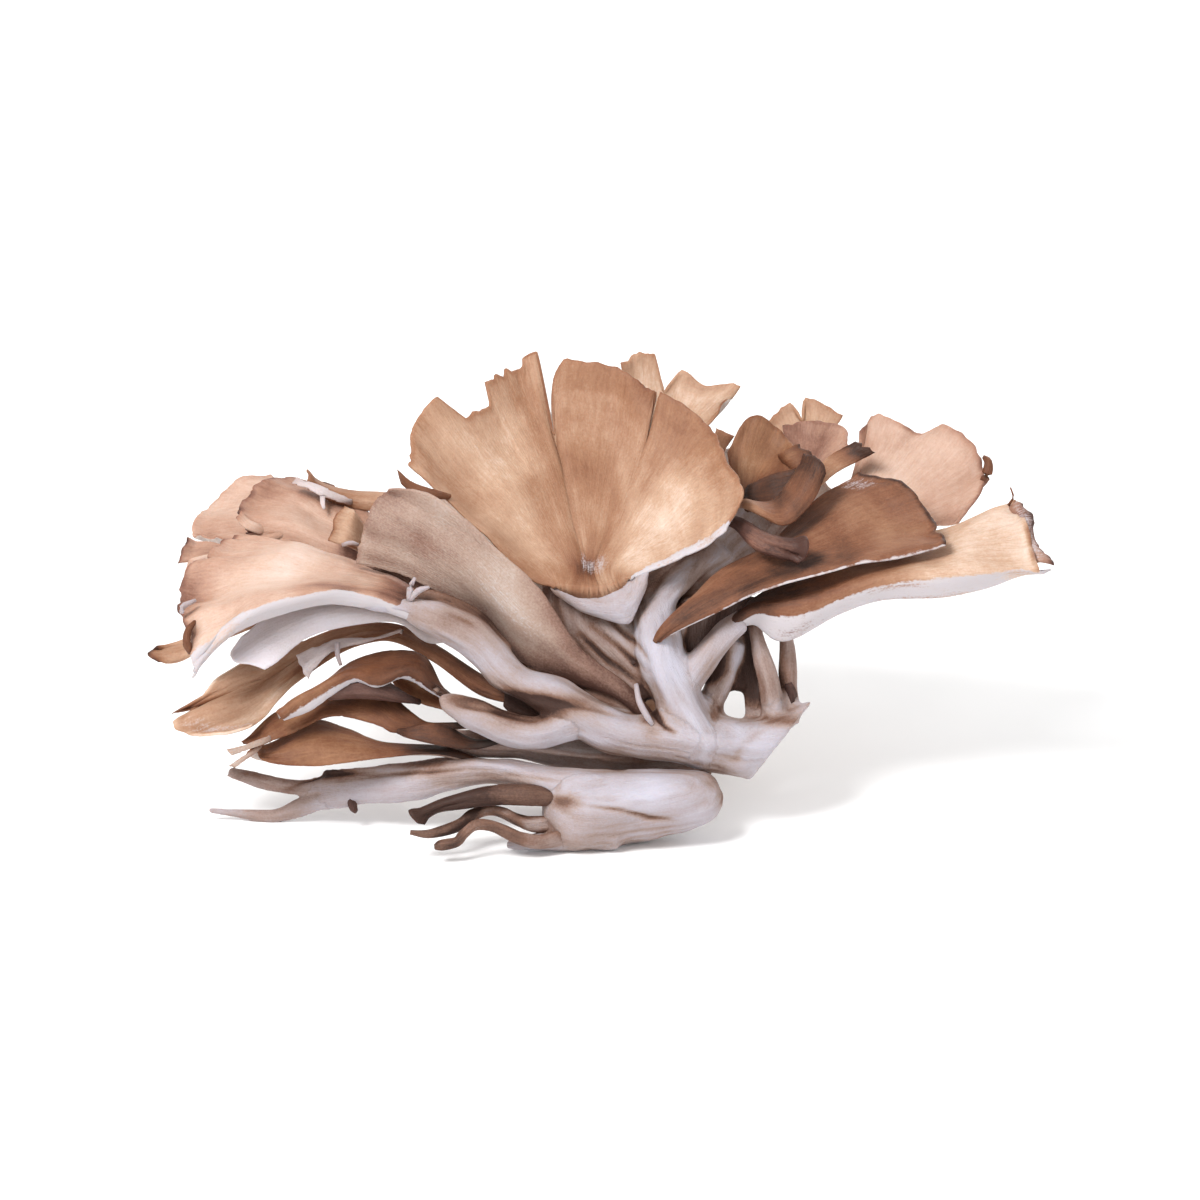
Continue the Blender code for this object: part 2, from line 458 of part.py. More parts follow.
            [(36, 15.5, 60), (40.5, 17.5, 63.5), (46.5, 18.5, 66)],
        ]),
    "pinkish_back_frond": dict(
        root=1.4, rim=RIM, cells=(6, 6), colour=PINK, wave=(0.4, 2.0, 0.0),
        rails=[
            [(33, 20.5, 63.5), (31.5, 23, 67), (30.5, 24.5, 71)],
            [(34, 20.5, 63), (35, 24, 67.5), (35.5, 26, 72)],
            [(35, 20.5, 62.5), (38, 24, 67), (41, 25.5, 70.5)],
            [(35.8, 20.5, 62.5), (39, 22.5, 65.5), (41.6, 23.5, 67)],
        ]),
    "lobed_back_frond": dict(
        root=1.4, rim=RIM, cells=(10, 6), colour=TAN, wave=(0.4, 2.0, 0.0),
        notches=[(0.5, 0.28, 0.08)],
        rails=[
            [(34, 25, 64), (31, 28, 68), (28, 30, 71.5)],
            [(34.5, 25, 64.5), (33, 29, 70), (31, 32, 74.3)],
            [(35, 25, 64.5), (35.5, 29, 70.5), (35.7, 32, 75)],
            [(35.5, 25, 64.5), (38, 28, 69), (41, 30, 72.5)],
        ]),
    "behind_cap_frond": dict(
        root=1.8, rim=RIM, cells=(10, 7), colour=TAN, wave=(0.6, 2.5, 0.0),
        notches=[(0.42, 0.22, 0.09), (0.62, 0.1, 0.09)],
        rails=[
            [(9, 24, 64), (5.5, 27, 73), (3, 28, 81.5)],
            [(9.7, 24, 64.5), (8, 28, 74), (7.5, 30, 83.3)],
            [(10.5, 24, 64.5), (12, 28, 73), (13.5, 30, 80.5)],
            [(11, 24, 64.3), (16.5, 27, 71.5), (23.5, 29, 77.5)],
            [(11.5, 24, 64), (16, 25, 69), (21, 26, 73.5)],
        ]),
    "small_tip": dict(
        root=1.2, rim=RIM, cells=(4, 5), colour=TAN,
        rails=[
            [(17.5, 19, 62), (18.5, 21.5, 66), (19.3, 23, 70.5)],
            [(19.5, 19.5, 62), (20.6, 22, 66), (22.3, 23.5, 69)],
        ]),
    "cap_side_tip": dict(
        root=0.9, rim=RIM, cells=(3, 4), colour=BROWN,
        rails=[
            [(-27.0, -0.9, 59.9), (-31, -0.7, 61.2), (-33.8, -0.3, 63.4)],
            [(-27.5, -1.3, 58.4), (-31, -1.1, 59.4), (-33, -0.8, 60.9)],
        ]),
    "rear_low_frond": dict(
        root=2.6, rim=RIM, cells=(10, 8), colour=TAN, wave=(0.8, 3.0, 0.0),
        rails=[
            [(9, 22.5, 25), (3, 28, 25), (-1, 35, 21), (0, 41, 15.6)],
            [(11, 23, 26), (8.5, 30, 27), (7, 38, 23.5), (7, 44, 15.8)],
            [(14, 23, 26), (14, 31, 27), (14.2, 38, 23.5), (14.6, 44, 15.8)],
            [(15.6, 22.5, 24.5), (18.6, 28, 24.5), (20.2, 35, 20.5), (20, 40, 15.2)],
        ]),
    "rear_left_frond": dict(
        root=2.4, rim=RIM, cells=(9, 8), colour=TAN, wave=(0.8, 2.5, 0.4),
        rails=[
            [(-4, 17, 42.5), (-13, 21, 40), (-20, 26, 37), (-28, 30, 35)],
            [(-4.5, 17.5, 43.5), (-14, 23, 43), (-24, 29, 43), (-34, 34, 43)],
            [(-5, 18, 44.5), (-13, 24, 47.5), (-22, 31, 51), (-31, 36, 54)],
            [(-5, 18, 46), (-10.5, 24, 52), (-16, 30, 58), (-22, 35, 63)],
        ]),
    "rear_right_frond": dict(
        root=2.2, rim=RIM, cells=(9, 8), colour=TAN, wave=(0.7, 2.5, 1.0),
        rails=[
            [(26, 17.8, 48.5), (30, 23, 48), (35, 28, 48), (41, 31, 49)],
            [(26.4, 18, 50), (31, 25, 52), (36, 31, 55), (41, 34, 58)],
            [(25.6, 18.5, 51.4), (28, 26, 56), (30, 33, 61), (32, 37, 65)],
            [(24, 19, 52), (23, 26, 57.5), (22, 33, 63), (20, 37, 67)],
        ]),
    "rear_upper_frond": dict(
        root=2.2, rim=RIM, cells=(9, 8), colour=TAN, wave=(0.7, 2.5, 0.0),
        rails=[
            [(-3, 19, 48), (-8, 25, 55), (-12, 31, 62), (-16, 35, 69)],
            [(-1.5, 19.5, 48.5), (-3, 27, 57), (-5, 34, 65), (-7, 38, 73)],
            [(0.5, 19.5, 48.5), (2.5, 27, 57), (4, 34, 65), (5, 38, 72)],
            [(2, 19, 48), (8, 24, 54), (12, 30, 60), (15, 34, 65)],
        ]),
}

# Thin curled stalks below the lower branch, as (x, depth, height, radius).
TENDRILS = {
    "curly_stalk_upper": [
        (-10.5, -0.4, 4.4, 1.2), (-13.4, -0.8, 5.0, 1.0), (-16.4, -1.0, 6.6, 0.9),
        (-18.8, -1.2, 6.8, 0.8), (-21.2, -1.8, 6.0, 0.8), (-23.4, -3.0, 4.4, 0.8),
        (-28.0, -4.4, 3.0, 0.7), (-31.4, -4.6, 3.3, 0.4),
    ],
    "curly_stalk_lower": [
        (-10.3, -2.8, 1.6, 1.2), (-13.4, -3.4, 2.4, 1.0), (-17.2, -4.2, 4.2, 0.9),
        (-20.4, -4.8, 4.4, 0.8), (-22.4, -5.4, 3.1, 0.8), (-23.6, -5.6, 1.7, 0.8),
        (-26.2, -5.6, 1.2, 0.8), (-27.2, -5.2, 0.8, 0.5),
    ],
}


# ---------------------------------------------------------------------------------------
# Helpers


def place(x, depth, height):
    """Layout millimetres to the world, in metres."""
    dx = x - REST_POINT[0]
    dy = depth - REST_POINT[1]
    dz = height - REST_POINT[2]
    back = dy * math.cos(LEAN) + dz * math.sin(LEAN)
    up = dz * math.cos(LEAN) - dy * math.sin(LEAN)
    return Vector((dx, back, up)) * MM


def spline(points, params):
    """A smooth curve through points (n, 3), read at params from 0 to 1."""
    points = np.asarray(points, dtype=float)
    first = 2 * points[0] - points[1]
    last = 2 * points[-1] - points[-2]
    padded = np.vstack([first, points, last])
    spans = len(points) - 1
    at = np.clip(np.asarray(params) * spans, 0, spans - 1e-9)
    index = at.astype(int)
    t = (at - index)[:, None]
    p0, p1, p2, p3 = (padded[index + k] for k in range(4))
    return 0.5 * (2 * p1 + (p2 - p0) * t + (2 * p0 - 5 * p1 + 4 * p2 - p3) * t ** 2
                  + (3 * p1 - p0 - 3 * p2 + p3) * t ** 3)


def new_object(name, mesh, collection):
    data = bpy.data.meshes.new(name)
    mesh.to_mesh(data)
    mesh.free()
    item = bpy.data.objects.new(name, data)
    collection.objects.link(item)
    return item


def paint(item, colour, roughness=0.6):
    material = bpy.data.materials.new(item.name)
    material.use_nodes = True
    shader = material.node_tree.nodes["Principled BSDF"]
    shader.inputs["Base Color"].default_value = (*colour, 1.0)
    shader.inputs["Roughness"].default_value = roughness
    item.data.materials.clear()
    item.data.materials.append(material)


def tube(name, rings, collection):
    """A closed tube: a grid wrapped round through rings of points, then sewn and capped."""
    sides = len(rings[0])
    spans = len(rings) - 1
    mesh = bmesh.new()
    bmesh.ops.create_grid(mesh, x_segments=sides, y_segments=spans, size=0.5)
    for vert in mesh.verts:
        side = round((vert.co.x + 0.5) * sides) % sides
        row = round((vert.co.y + 0.5) * spans)
        vert.co = rings[row][side]
    bmesh.ops.remove_doubles(mesh, verts=mesh.verts, dist=SEWN)
    bmesh.ops.holes_fill(mesh, edges=[edge for edge in mesh.edges if edge.is_boundary])
    bmesh.ops.recalc_face_normals(mesh, faces=mesh.faces)
    bmesh.ops.triangulate(mesh, faces=mesh.faces)
    return new_object(name, mesh, collection)


def limb(name, sections, collection):
    """A limb through sections given by two edges, a depth and half a thickness."""
    count = (len(sections) - 1) * STEPS + 1
    table = spline(sections, np.linspace(0, 1, count))
    rings = []
    for x1, z1, x2, z2, depth, half in table:
        ring = []
        for k in range(SIDES):
            angle = math.tau * k / SIDES
            mid = 0.5 + 0.5 * math.cos(angle)
            ring.append(place(x1 + (x2 - x1) * mid, depth + half * math.sin(angle),
                              z1 + (z2 - z1) * mid))
        rings.append(ring)
    return tube(name, rings, collection)


def stalk(name, path, collection, sides=STALK_SIDES):
    """A round stalk along a path of (x, depth, height, radius)."""
    count = (len(path) - 1) * STEPS + 1
    table = spline(path, np.linspace(0, 1, count))
    points = [place(*row[:3]) for row in table]
    aside = Vector((0.3, 0.2, 1.0))
    rings = []
    for k, row in enumerate(table):
        ahead = points[min(k + 1, count - 1)] - points[max(k - 1, 0)]
        side = ahead.cross(aside).normalized() * row[3] * MM
        up = side.cross(ahead).normalized() * row[3] * MM
        turns = [math.tau * j / sides for j in range(sides)]
        rings.append([points[k] + side * math.cos(turn) + up * math.sin(turn) for turn in turns])
    return tube(name, rings, collection)


def frond(name, shape, collection):
    """A frond: a grid bent through its rails, thickened by Solidify from rim to root."""
    across, along = shape["cells"]
    rails = [np.array(rail, dtype=float) for rail in shape["rails"]]
    lengths = np.mean([np.linalg.norm(np.diff(rail, axis=0), axis=1) for rail in rails], axis=0)
    reach = np.concatenate([[0], np.cumsum(lengths)]) / np.sum(lengths)
    stations = np.linspace(0, 1, len(reach))
    wave_height, waves, phase = shape.get("wave", (0.0, 1.0, 0.0))

    mesh = bmesh.new()
    bmesh.ops.create_grid(mesh, x_segments=across, y_segments=along, size=0.5)
    cells = [(vert.co.x + 0.5, vert.co.y + 0.5) for vert in mesh.verts]
    for vert, (u, v) in zip(mesh.verts, cells):
        cut = sum(depth * max(0.0, 1 - abs(u - at) / half)
                  for at, depth, half in shape.get("notches", ()))
        v_cut = v * (1 - cut)
        param = np.interp(v_cut, reach, stations)
        line = [spline(rail, [param])[0] for rail in rails]
        x, depth, height = spline(line, [u])[0]
        depth += wave_height * v_cut ** 2 * math.sin(math.tau * waves * u + phase)
        vert.co = place(x, depth, height)
    bmesh.ops.triangulate(mesh, faces=mesh.faces)
    item = new_object(name, mesh, collection)

    group = item.vertex_groups.new(name="thickness")
    thin = shape["rim"] / shape["root"]
    for vert, (u, v) in zip(item.data.vertices, cells):
        body = (1 - v) ** TOWARDS_RIM * (1 - abs(2 * u - 1) ** TOWARDS_SIDES)
        group.add([vert.index], thin + (1 - thin) * body, "REPLACE")
    wall = item.modifiers.new("wall", "SOLIDIFY")
    wall.thickness = shape["root"] * MM
    wall.offset = 0.0
    wall.vertex_group = group.name
    return item


def join(name, items, collection):
    """One closed body from overlapping ones, by a Boolean union on a collection."""
    rest = bpy.data.collections.new(name + "_parts")
    bpy.context.scene.collection.children.link(rest)
    for item in items[1:]:
        collection.objects.unlink(item)
        rest.objects.link(item)
    union = items[0].modifiers.new("union", "BOOLEAN")
    union.operation = "UNION"
    union.solver = "MANIFOLD"
    union.operand_type = "COLLECTION"
    union.collection = rest
    depsgraph = bpy.context.evaluated_depsgraph_get()
    data = bpy.data.meshes.new_from_object(items[0].evaluated_get(depsgraph))
    whole = bpy.data.objects.new(name, data)
    for item in items:
        bpy.data.objects.remove(item)
    bpy.data.collections.remove(rest)
    whole.name = name
    collection.objects.link(whole)
    return whole


def rest_on_table(item):
    """Cut what would sink into the table, and close the flat spot that it leaves."""
    mesh = bmesh.new()
    mesh.from_mesh(item.data)
    geometry = mesh.verts[:] + mesh.edges[:] + mesh.faces[:]
    bmesh.ops.bisect_plane(mesh, geom=geometry, dist=SEWN, plane_co=(0, 0, 0), plane_no=(0, 0, 1),
                           clear_inner=True)
    bmesh.ops.holes_fill(mesh, edges=[edge for edge in mesh.edges if edge.is_boundary])
    bmesh.ops.triangulate(mesh, faces=mesh.faces)
    mesh.to_mesh(item.data)
    mesh.free()


def freeze(item):
    """Apply an object's modifiers to its mesh."""
    depsgraph = bpy.context.evaluated_depsgraph_get()
    data = bpy.data.meshes.new_from_object(item.evaluated_get(depsgraph))
    item.modifiers.clear()
    item.data = data


# ---------------------------------------------------------------------------------------
# The cluster


def build():
    for item in list(bpy.data.objects):
        bpy.data.objects.remove(item)
    collection = bpy.data.collections.new(COLLECTION)
    bpy.context.scene.collection.children.link(collection)

    limbs = [limb(name, rows, collection) for name, rows in STEM_LIMBS.items()]
    limbs += [stalk(name, path, collection) for name, path in STEM_STALKS.items()]
    stem = join("stem", limbs, collection)
    paint(stem, FLESH)

    limbs = [limb(name, rows, collection) for name, rows in LOWER_LIMBS.items()]
    lower = join("lower_branch", limbs, collection)
    rest_on_table(lower)
    paint(lower, FLESH)

    for name, shape in FRONDS.items():
        item = frond(name, shape, collection)
        paint(item, shape["colour"])
    for name, path in TENDRILS.items():
        item = stalk(name, path, collection, TENDRIL_SIDES)
        paint(item, DARK)

    rear = bpy.data.objects["rear_low_frond"]
    freeze(rear)
    rest_on_table(rear)

    fan = bpy.data.objects["big_cap"]
    fan.name = "fan"
    neck = limb("neck", CAP_STALK, collection)
    cap = join("big_cap", [fan, neck], collection)
    paint(cap, TAN)


build()
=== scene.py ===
# %% [markdown]
# # A maitake mushroom
# A maitake, or hen of the woods, grows as one cluster: a pale branching stem that ends in
# dozens of thin, wavy fronds. This lesson dresses the plain solids of one torn cluster.
# Each solid could simply be given a material, but a frond lives by its ragged rim, its
# fibres and its folds, so every piece is grown again here, finer, in the same place.

# %% Load the frame
import math

import bmesh
import bpy
import numpy as np
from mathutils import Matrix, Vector, noise
from mathutils.bvhtree import BVHTree


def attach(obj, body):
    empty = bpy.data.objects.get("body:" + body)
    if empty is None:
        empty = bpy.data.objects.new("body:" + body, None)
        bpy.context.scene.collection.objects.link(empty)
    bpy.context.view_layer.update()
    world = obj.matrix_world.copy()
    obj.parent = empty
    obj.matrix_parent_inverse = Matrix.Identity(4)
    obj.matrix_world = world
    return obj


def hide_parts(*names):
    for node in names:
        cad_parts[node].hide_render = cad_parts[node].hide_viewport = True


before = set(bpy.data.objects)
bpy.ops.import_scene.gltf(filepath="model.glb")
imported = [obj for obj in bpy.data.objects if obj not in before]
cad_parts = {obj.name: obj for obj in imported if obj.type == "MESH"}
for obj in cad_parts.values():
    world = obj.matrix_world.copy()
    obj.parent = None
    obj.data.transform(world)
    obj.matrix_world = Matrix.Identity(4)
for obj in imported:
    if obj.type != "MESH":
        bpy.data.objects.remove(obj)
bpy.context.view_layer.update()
print("solids to dress:", len(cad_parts))

# %% [markdown]
# ## The layout
# The cluster is drawn in millimetres in a leaning frame: x to the right, depth away from
# the front, height up. Drawing upright and tipping everything back at the end is easier
# than modelling at a tilt, and it keeps every number readable.

# %% From the layout to the table
MM = 0.001
LEAN = math.radians(20.0)
REST_POINT = np.array([-2.8, 4.0, 1.08])      # the layout point that becomes the origin


def placed(points):
    """Layout points (x, depth, height) in mm, as points over the table in metres."""
    dx, dy, dz = (np.asarray(points, dtype=float) - REST_POINT).T
    back = dy * math.cos(LEAN) + dz * math.sin(LEAN)
    up = dz * math.cos(LEAN) - dy * math.sin(LEAN)
    return np.stack([dx, back, up], axis=-1) * MM


print("rest point lands at", placed([REST_POINT])[0])

# %% [markdown]
# ## Curves, chance and easing
# Nothing on a mushroom is straight, so most shapes below are smooth curves through a few
# points. A Catmull-Rom curve is used because it passes through its points, which makes a
# table of them easy to draw. Blender's noise gives the irregularity: it looks random but
# is the same on every run.

# %% Curves, chance and easing


def catmull(p0, p1, p2, p3, t):
    """A smooth curve from p1 to p2, read at t from 0 to 1."""
    return 0.5 * (2 * p1 + (p2 - p0) * t + (2 * p0 - 5 * p1 + 4 * p2 - p3) * t ** 2
                  + (3 * p1 - p0 - 3 * p2 + p3) * t ** 3)


def spans(count, params):
    """Which span of a curve each param falls in, and how far along that span."""
    at = np.clip(np.asarray(params, dtype=float), 0, 1) * (count - 1)
    index = np.minimum(at.astype(int), count - 2)
    return index, (at - index)[..., None]


def extended(points):
    """The points with one more at each end, so that the end spans have neighbours."""
    return np.concatenate([2 * points[:1] - points[1:2], points, 2 * points[-1:] - points[-2:-1]])


def spline(points, params):
    """A smooth curve through points, read at params from 0 to 1."""
    points = extended(np.asarray(points, dtype=float))
    index, t = spans(len(points) - 2, params)
    return catmull(points[index], points[index + 1], points[index + 2], points[index + 3], t)


def wander(x, y=0.0, z=0.0):
    """Smooth random values of about -1 to 1, the same on every run."""
    x, y, z = np.broadcast_arrays(x, y, z)
    spots = np.stack([x, y, z], axis=-1).reshape(-1, 3)
    values = [noise.noise(Vector(spot)) for spot in spots.tolist()]
    return np.clip(np.array(values).reshape(x.shape) * 1.6, -1, 1)


def ease(value, low, high):
    """0 below low, 1 above high, and smooth between."""
    t = np.clip((value - low) / (high - low), 0, 1)
    return t * t * (3 - 2 * t)


print("a curve through 0, 1, 0 is at %.2f halfway up" % spline([[0.0], [1.0], [0.0]], 0.25)[0])

# %% [markdown]
# ## Skins
# The upper side of a frond is silky: tan to brown fibres that run from the stalk to the
# rim. The lower side is a cream sheet of tiny pores, and the stem is lilac-white fibrous
# flesh. All three show fibres, so one node group makes them. It reads an attribute called
# grain, which holds each point's place in mm across and along its own frond or limb. A
# noise stretched along that direction becomes fibres that follow every bend.

# %% Wiring nodes


def link(tree, start, end):
    tree.links.new(start, end)


def node(tree, kind, **settings):
    item = tree.nodes.new(kind)
    for name, value in settings.items():
        setattr(item, name, value)
    return item


def maths(tree, operation, first, second, clamp=False):
    """A Math node between two sockets or numbers; returns its output."""
    item = node(tree, "ShaderNodeMath", operation=operation, use_clamp=clamp)
    for socket, value in zip(item.inputs, (first, second)):
        if isinstance(value, (int, float)):
            socket.default_value = value
        else:
            link(tree, value, socket)
    return item.outputs[0]


def scaled(tree, value, factor, offset, clamp=False):
    """value * factor + offset, in one Math node; returns its output."""
    output = maths(tree, "MULTIPLY_ADD", value, factor, clamp)
    output.node.inputs[2].default_value = offset
    return output


print("helpers for nodes:", ", ".join(helper.__name__ for helper in (link, node, maths, scaled)))

# %% The fibre group
SPREAD = (0.28, 0.72)         # a noise rarely leaves this range, so it is stretched to 0..1
SPECKLE_SCALE = 2600.0        # specks to the metre


def texture(tree, vector, scale, detail, stretch=(1, 1, 1)):
    """A noise texture on a stretched vector, with its values spread to 0..1."""
    mapping = node(tree, "ShaderNodeMapping")
    mapping.inputs["Scale"].default_value = stretch
    link(tree, vector, mapping.inputs["Vector"])
    cloud = node(tree, "ShaderNodeTexNoise")
    cloud.inputs["Scale"].default_value = scale
    cloud.inputs["Detail"].default_value = detail
    cloud.inputs["Roughness"].default_value = 0.55
    link(tree, mapping.outputs["Vector"], cloud.inputs["Vector"])
    spread = node(tree, "ShaderNodeMapRange")
    spread.inputs["From Min"].default_value = SPREAD[0]
    spread.inputs["From Max"].default_value = SPREAD[1]
    link(tree, cloud.outputs["Fac"], spread.inputs["Value"])
    return spread.outputs["Result"]


def fibre_group():
    tree = bpy.data.node_groups.new("mushroom_fibres", "ShaderNodeTree")
    tree.interface.new_socket("Grain", in_out="INPUT", socket_type="NodeSocketVector")
    tree.interface.new_socket("Place", in_out="INPUT", socket_type="NodeSocketVector")
    for name in ("Fibres", "Fine", "Mottle", "Speckle"):
        tree.interface.new_socket(name, in_out="OUTPUT", socket_type="NodeSocketFloat")
    start = node(tree, "NodeGroupInput")
    end = node(tree, "NodeGroupOutput")
    grain = start.outputs["Grain"]
    link(tree, texture(tree, grain, 1.0, 3, (2.4, 0.16, 2.4)), end.inputs["Fibres"])
    link(tree, texture(tree, grain, 1.0, 2, (6.5, 0.7, 6.5)), end.inputs["Fine"])
    link(tree, texture(tree, grain, 1.0, 5, (0.16, 0.13, 0.16)), end.inputs["Mottle"])
    link(tree, texture(tree, start.outputs["Place"], SPECKLE_SCALE, 2), end.inputs["Speckle"])
    return tree


FIBRES = fibre_group()
print("fibre outputs:", [socket.name for socket in FIBRES.interface.items_tree])

# %% [markdown]
# A skin mixes five shades with a colour ramp. What moves along the ramp is the tone, an
# attribute painted on each piece by a few rules (darker rims, paler crowns, brown roots),
# plus the fibres and mottling. The tone also carries painted shade, in the brown roots and
# wherever flesh lies in a hollow or a crowd, and a painted highlight on the big cap. A
# second attribute, white, shows where bare flesh or pores come through. Thin flesh lets
# light in, so every skin has some subsurface scattering.

# %% Shades and bare flesh
BARE_FLESH = (0.47, 0.43, 0.445)


def shaded(tree, tone, group, shades, weights):
    """The colour on a ramp of shades, read at the tone plus the weighted fibres."""
    level = scaled(tree, tone, 0.5, 0.5 - sum(weights.values()) / 2)
    for output, weight in weights.items():
        level = maths(tree, "ADD", level, maths(tree, "MULTIPLY", group.outputs[output], weight))
    ramp = node(tree, "ShaderNodeValToRGB")
    ramp.color_ramp.elements[0].color = (*shades[0], 1)
    ramp.color_ramp.elements[1].color = (*shades[-1], 1)
    for number, shade in enumerate(shades[1:-1], 1):
        ramp.color_ramp.elements.new(number / (len(shades) - 1)).color = (*shade, 1)
    link(tree, level, ramp.inputs["Fac"])
    return ramp.outputs["Color"]


def bared(tree, bare, group):
    """How much bare flesh shows: the white attribute, with its edges broken by the fibres."""
    patchy = maths(tree, "ADD", group.outputs["Fine"], group.outputs["Speckle"])
    patchy = maths(tree, "ADD", patchy, group.outputs["Fibres"])
    patchy = scaled(tree, patchy, 0.35, -0.525)
    patchy = maths(tree, "MULTIPLY", patchy, maths(tree, "MULTIPLY", bare, 5.0, clamp=True))
    share = maths(tree, "SUBTRACT", maths(tree, "ADD", bare, patchy), 0.5)
    return scaled(tree, share, 1.8, 0.5, clamp=True)


print("bare flesh:", BARE_FLESH)

# %% The skin material
RELIEF = 0.10                 # height of the fibres, mm
LIGHT_DEPTH = 1.2             # how deep light goes into the flesh, mm


def skin(name, shades, fibre=0.09, fine=0.09, mottle=0.26, speckle=0.07, rough=0.6, bump=0.4,
         scatter=0.2):
    material = bpy.data.materials.new(name)
    material.use_nodes = True
    tree = material.node_tree
    shader = tree.nodes["Principled BSDF"]
    grain, tone, bare = (node(tree, "ShaderNodeAttribute", attribute_name=attribute)
                         for attribute in ("grain", "tone", "white"))
    place = node(tree, "ShaderNodeTexCoord")
    group = node(tree, "ShaderNodeGroup", node_tree=FIBRES)
    link(tree, grain.outputs["Vector"], group.inputs["Grain"])
    link(tree, place.outputs["Object"], group.inputs["Place"])

    weights = {"Fibres": fibre, "Fine": fine, "Mottle": mottle, "Speckle": speckle}
    mix = node(tree, "ShaderNodeMix", data_type="RGBA")
    link(tree, bared(tree, bare.outputs["Fac"], group), mix.inputs["Factor"])
    link(tree, shaded(tree, tone.outputs["Fac"], group, shades, weights), mix.inputs[6])
    mix.inputs[7].default_value = (*BARE_FLESH, 1)       # 6 and 7 are the node's two colours
    link(tree, mix.outputs[2], shader.inputs["Base Color"])

    height = maths(tree, "ADD", group.outputs["Fibres"], group.outputs["Fine"])
    height = maths(tree, "ADD", height, maths(tree, "MULTIPLY", group.outputs["Speckle"], 0.6))
    relief = node(tree, "ShaderNodeBump")
    relief.inputs["Strength"].default_value = bump
    relief.inputs["Distance"].default_value = RELIEF * MM
    link(tree, height, relief.inputs["Height"])
    link(tree, relief.outputs["Normal"], shader.inputs["Normal"])
    link(tree, scaled(tree, group.outputs["Fine"], 0.2, rough - 0.1), shader.inputs["Roughness"])
    shader.inputs["Subsurface Weight"].default_value = scatter
    shader.inputs["Subsurface Radius"].default_value = (1.0, 0.55, 0.35)
    shader.inputs["Subsurface Scale"].default_value = LIGHT_DEPTH * MM
    shader.inputs["Specular IOR Level"].default_value = 0.3
    return material


print("the fibres stand %.1f mm high" % RELIEF)

# %% [markdown]
# ## The colours of the cluster
# Fronds in the light are tan or pink-tan, those in the shade of others are brown, and what
# has shrivelled is nearly black. The pore sides run from cream to lilac-grey. Each skin is
# five shades from its darkest stain to its palest patch, so one rule can paint shade into a
# hollow on any of them and it still keeps its own hue.

# %% Mix the skins
PORE_LOOK = dict(fibre=0.05, fine=0.05, mottle=0.24, speckle=0.16, rough=0.75, bump=0.6)
SKINS = {
    "tan": skin("tan_skin", [
        (0.045, 0.016, 0.008), (0.18, 0.070, 0.034), (0.30, 0.152, 0.086), (0.46, 0.295, 0.200),
        (0.66, 0.52, 0.43)]),
    "pink": skin("pink_skin", [
        (0.060, 0.024, 0.017), (0.21, 0.098, 0.067), (0.39, 0.225, 0.158), (0.53, 0.365, 0.285),
        (0.64, 0.52, 0.46)]),
    "brown": skin("brown_skin", [
        (0.016, 0.006, 0.003), (0.064, 0.022, 0.010), (0.15, 0.055, 0.024), (0.27, 0.130, 0.066),
        (0.44, 0.27, 0.17)]),
    "dark": skin("dark_skin", [
        (0.010, 0.004, 0.004), (0.038, 0.016, 0.012), (0.080, 0.036, 0.027), (0.16, 0.085, 0.068),
        (0.30, 0.19, 0.16)], fibre=0.24, fine=0.12, bump=0.8),
    "pores": skin("pore_skin", [
        (0.090, 0.040, 0.028), (0.23, 0.132, 0.100), (0.36, 0.258, 0.208), (0.45, 0.375, 0.335),
        (0.53, 0.47, 0.45)], **PORE_LOOK),
    "underside": skin("underside_pores", [
        (0.19, 0.105, 0.078), (0.32, 0.235, 0.195), (0.43, 0.360, 0.325), (0.51, 0.46, 0.44),
        (0.57, 0.53, 0.53)], **PORE_LOOK),
    "lilac": skin("lilac_pores", [
        (0.10, 0.052, 0.040), (0.26, 0.170, 0.145), (0.43, 0.350, 0.335), (0.53, 0.46, 0.46),
        (0.60, 0.55, 0.58)], fibre=0.04, fine=0.06, mottle=0.20, speckle=0.12, rough=0.75, bump=0.5),
    "flesh": skin("stem_flesh", [
        (0.040, 0.016, 0.010), (0.17, 0.090, 0.062), (0.31, 0.230, 0.205), (0.385, 0.342, 0.368),
        (0.45, 0.43, 0.49)], fibre=0.06, fine=0.08, mottle=0.20, speckle=0.08, bump=0.6, scatter=0.25),
}
print("skins:", ", ".join(SKINS))

# %% [markdown]
# ## The fronds
# A frond is a bent sheet. A grid is created flat, and each of its points is carried to a
# surface drawn by rails: curves that run from the stalk to the rim. Reading a smooth curve
# across the rails fills in the rest. Sculpting by hand would give a finer single frond, but
# rails let one function grow all of them and keep each in the space of its plain solid.
#
# Every frond is a dictionary. Places on it are shares from 0 to 1: u across its rails, v
# from root to rim.
# - rails are its points (x, depth, height), and foot is the point in the flesh where they
#   gather, as tight as gather says. Without a foot the root goes sink mm straight on.
# - root is the thickness there in mm, and skins are its front, its back and its rim.
# - wave is (mm, how many, phase). ragged, fray, furrow, pleat, ruffle and roll are mm.
# - outline is how far the rim reaches, with steps where it is torn, and a tear is (u at the
#   rim, u at its tip, v of its tip, half its width).
# - tones are the tone at the root, the middle and the rim, and edge is added at the rim.
#   A dark root is painted shade, where the fronds crowd at the stem. stains_and_shading
#   are spots (u, v, two half-widths, tone), darker below zero and paler above: some are
#   real stains, some are painted shade where a frond lies in the shade of another, and the
#   pale pair on the big cap's right is a painted highlight.
# - bare is the u past which pores show white. pale lists spots like stains that are
#   whiter, or less white where they are below zero.

# %% What a frond does unless its entry says otherwise
RIM = 0.6                     # thickness of a frond at its rim, mm
TAN = ("tan", "underside", "tan")
PINK = ("pink", "underside", "pink")
BROWN = ("brown", "underside", "brown")
DARK = ("dark", "dark", "dark")
PORES = ("pores", "tan", "pores")
LILAC = ("lilac", "brown", "lilac")
FLESH = ("flesh", "flesh", "flesh")

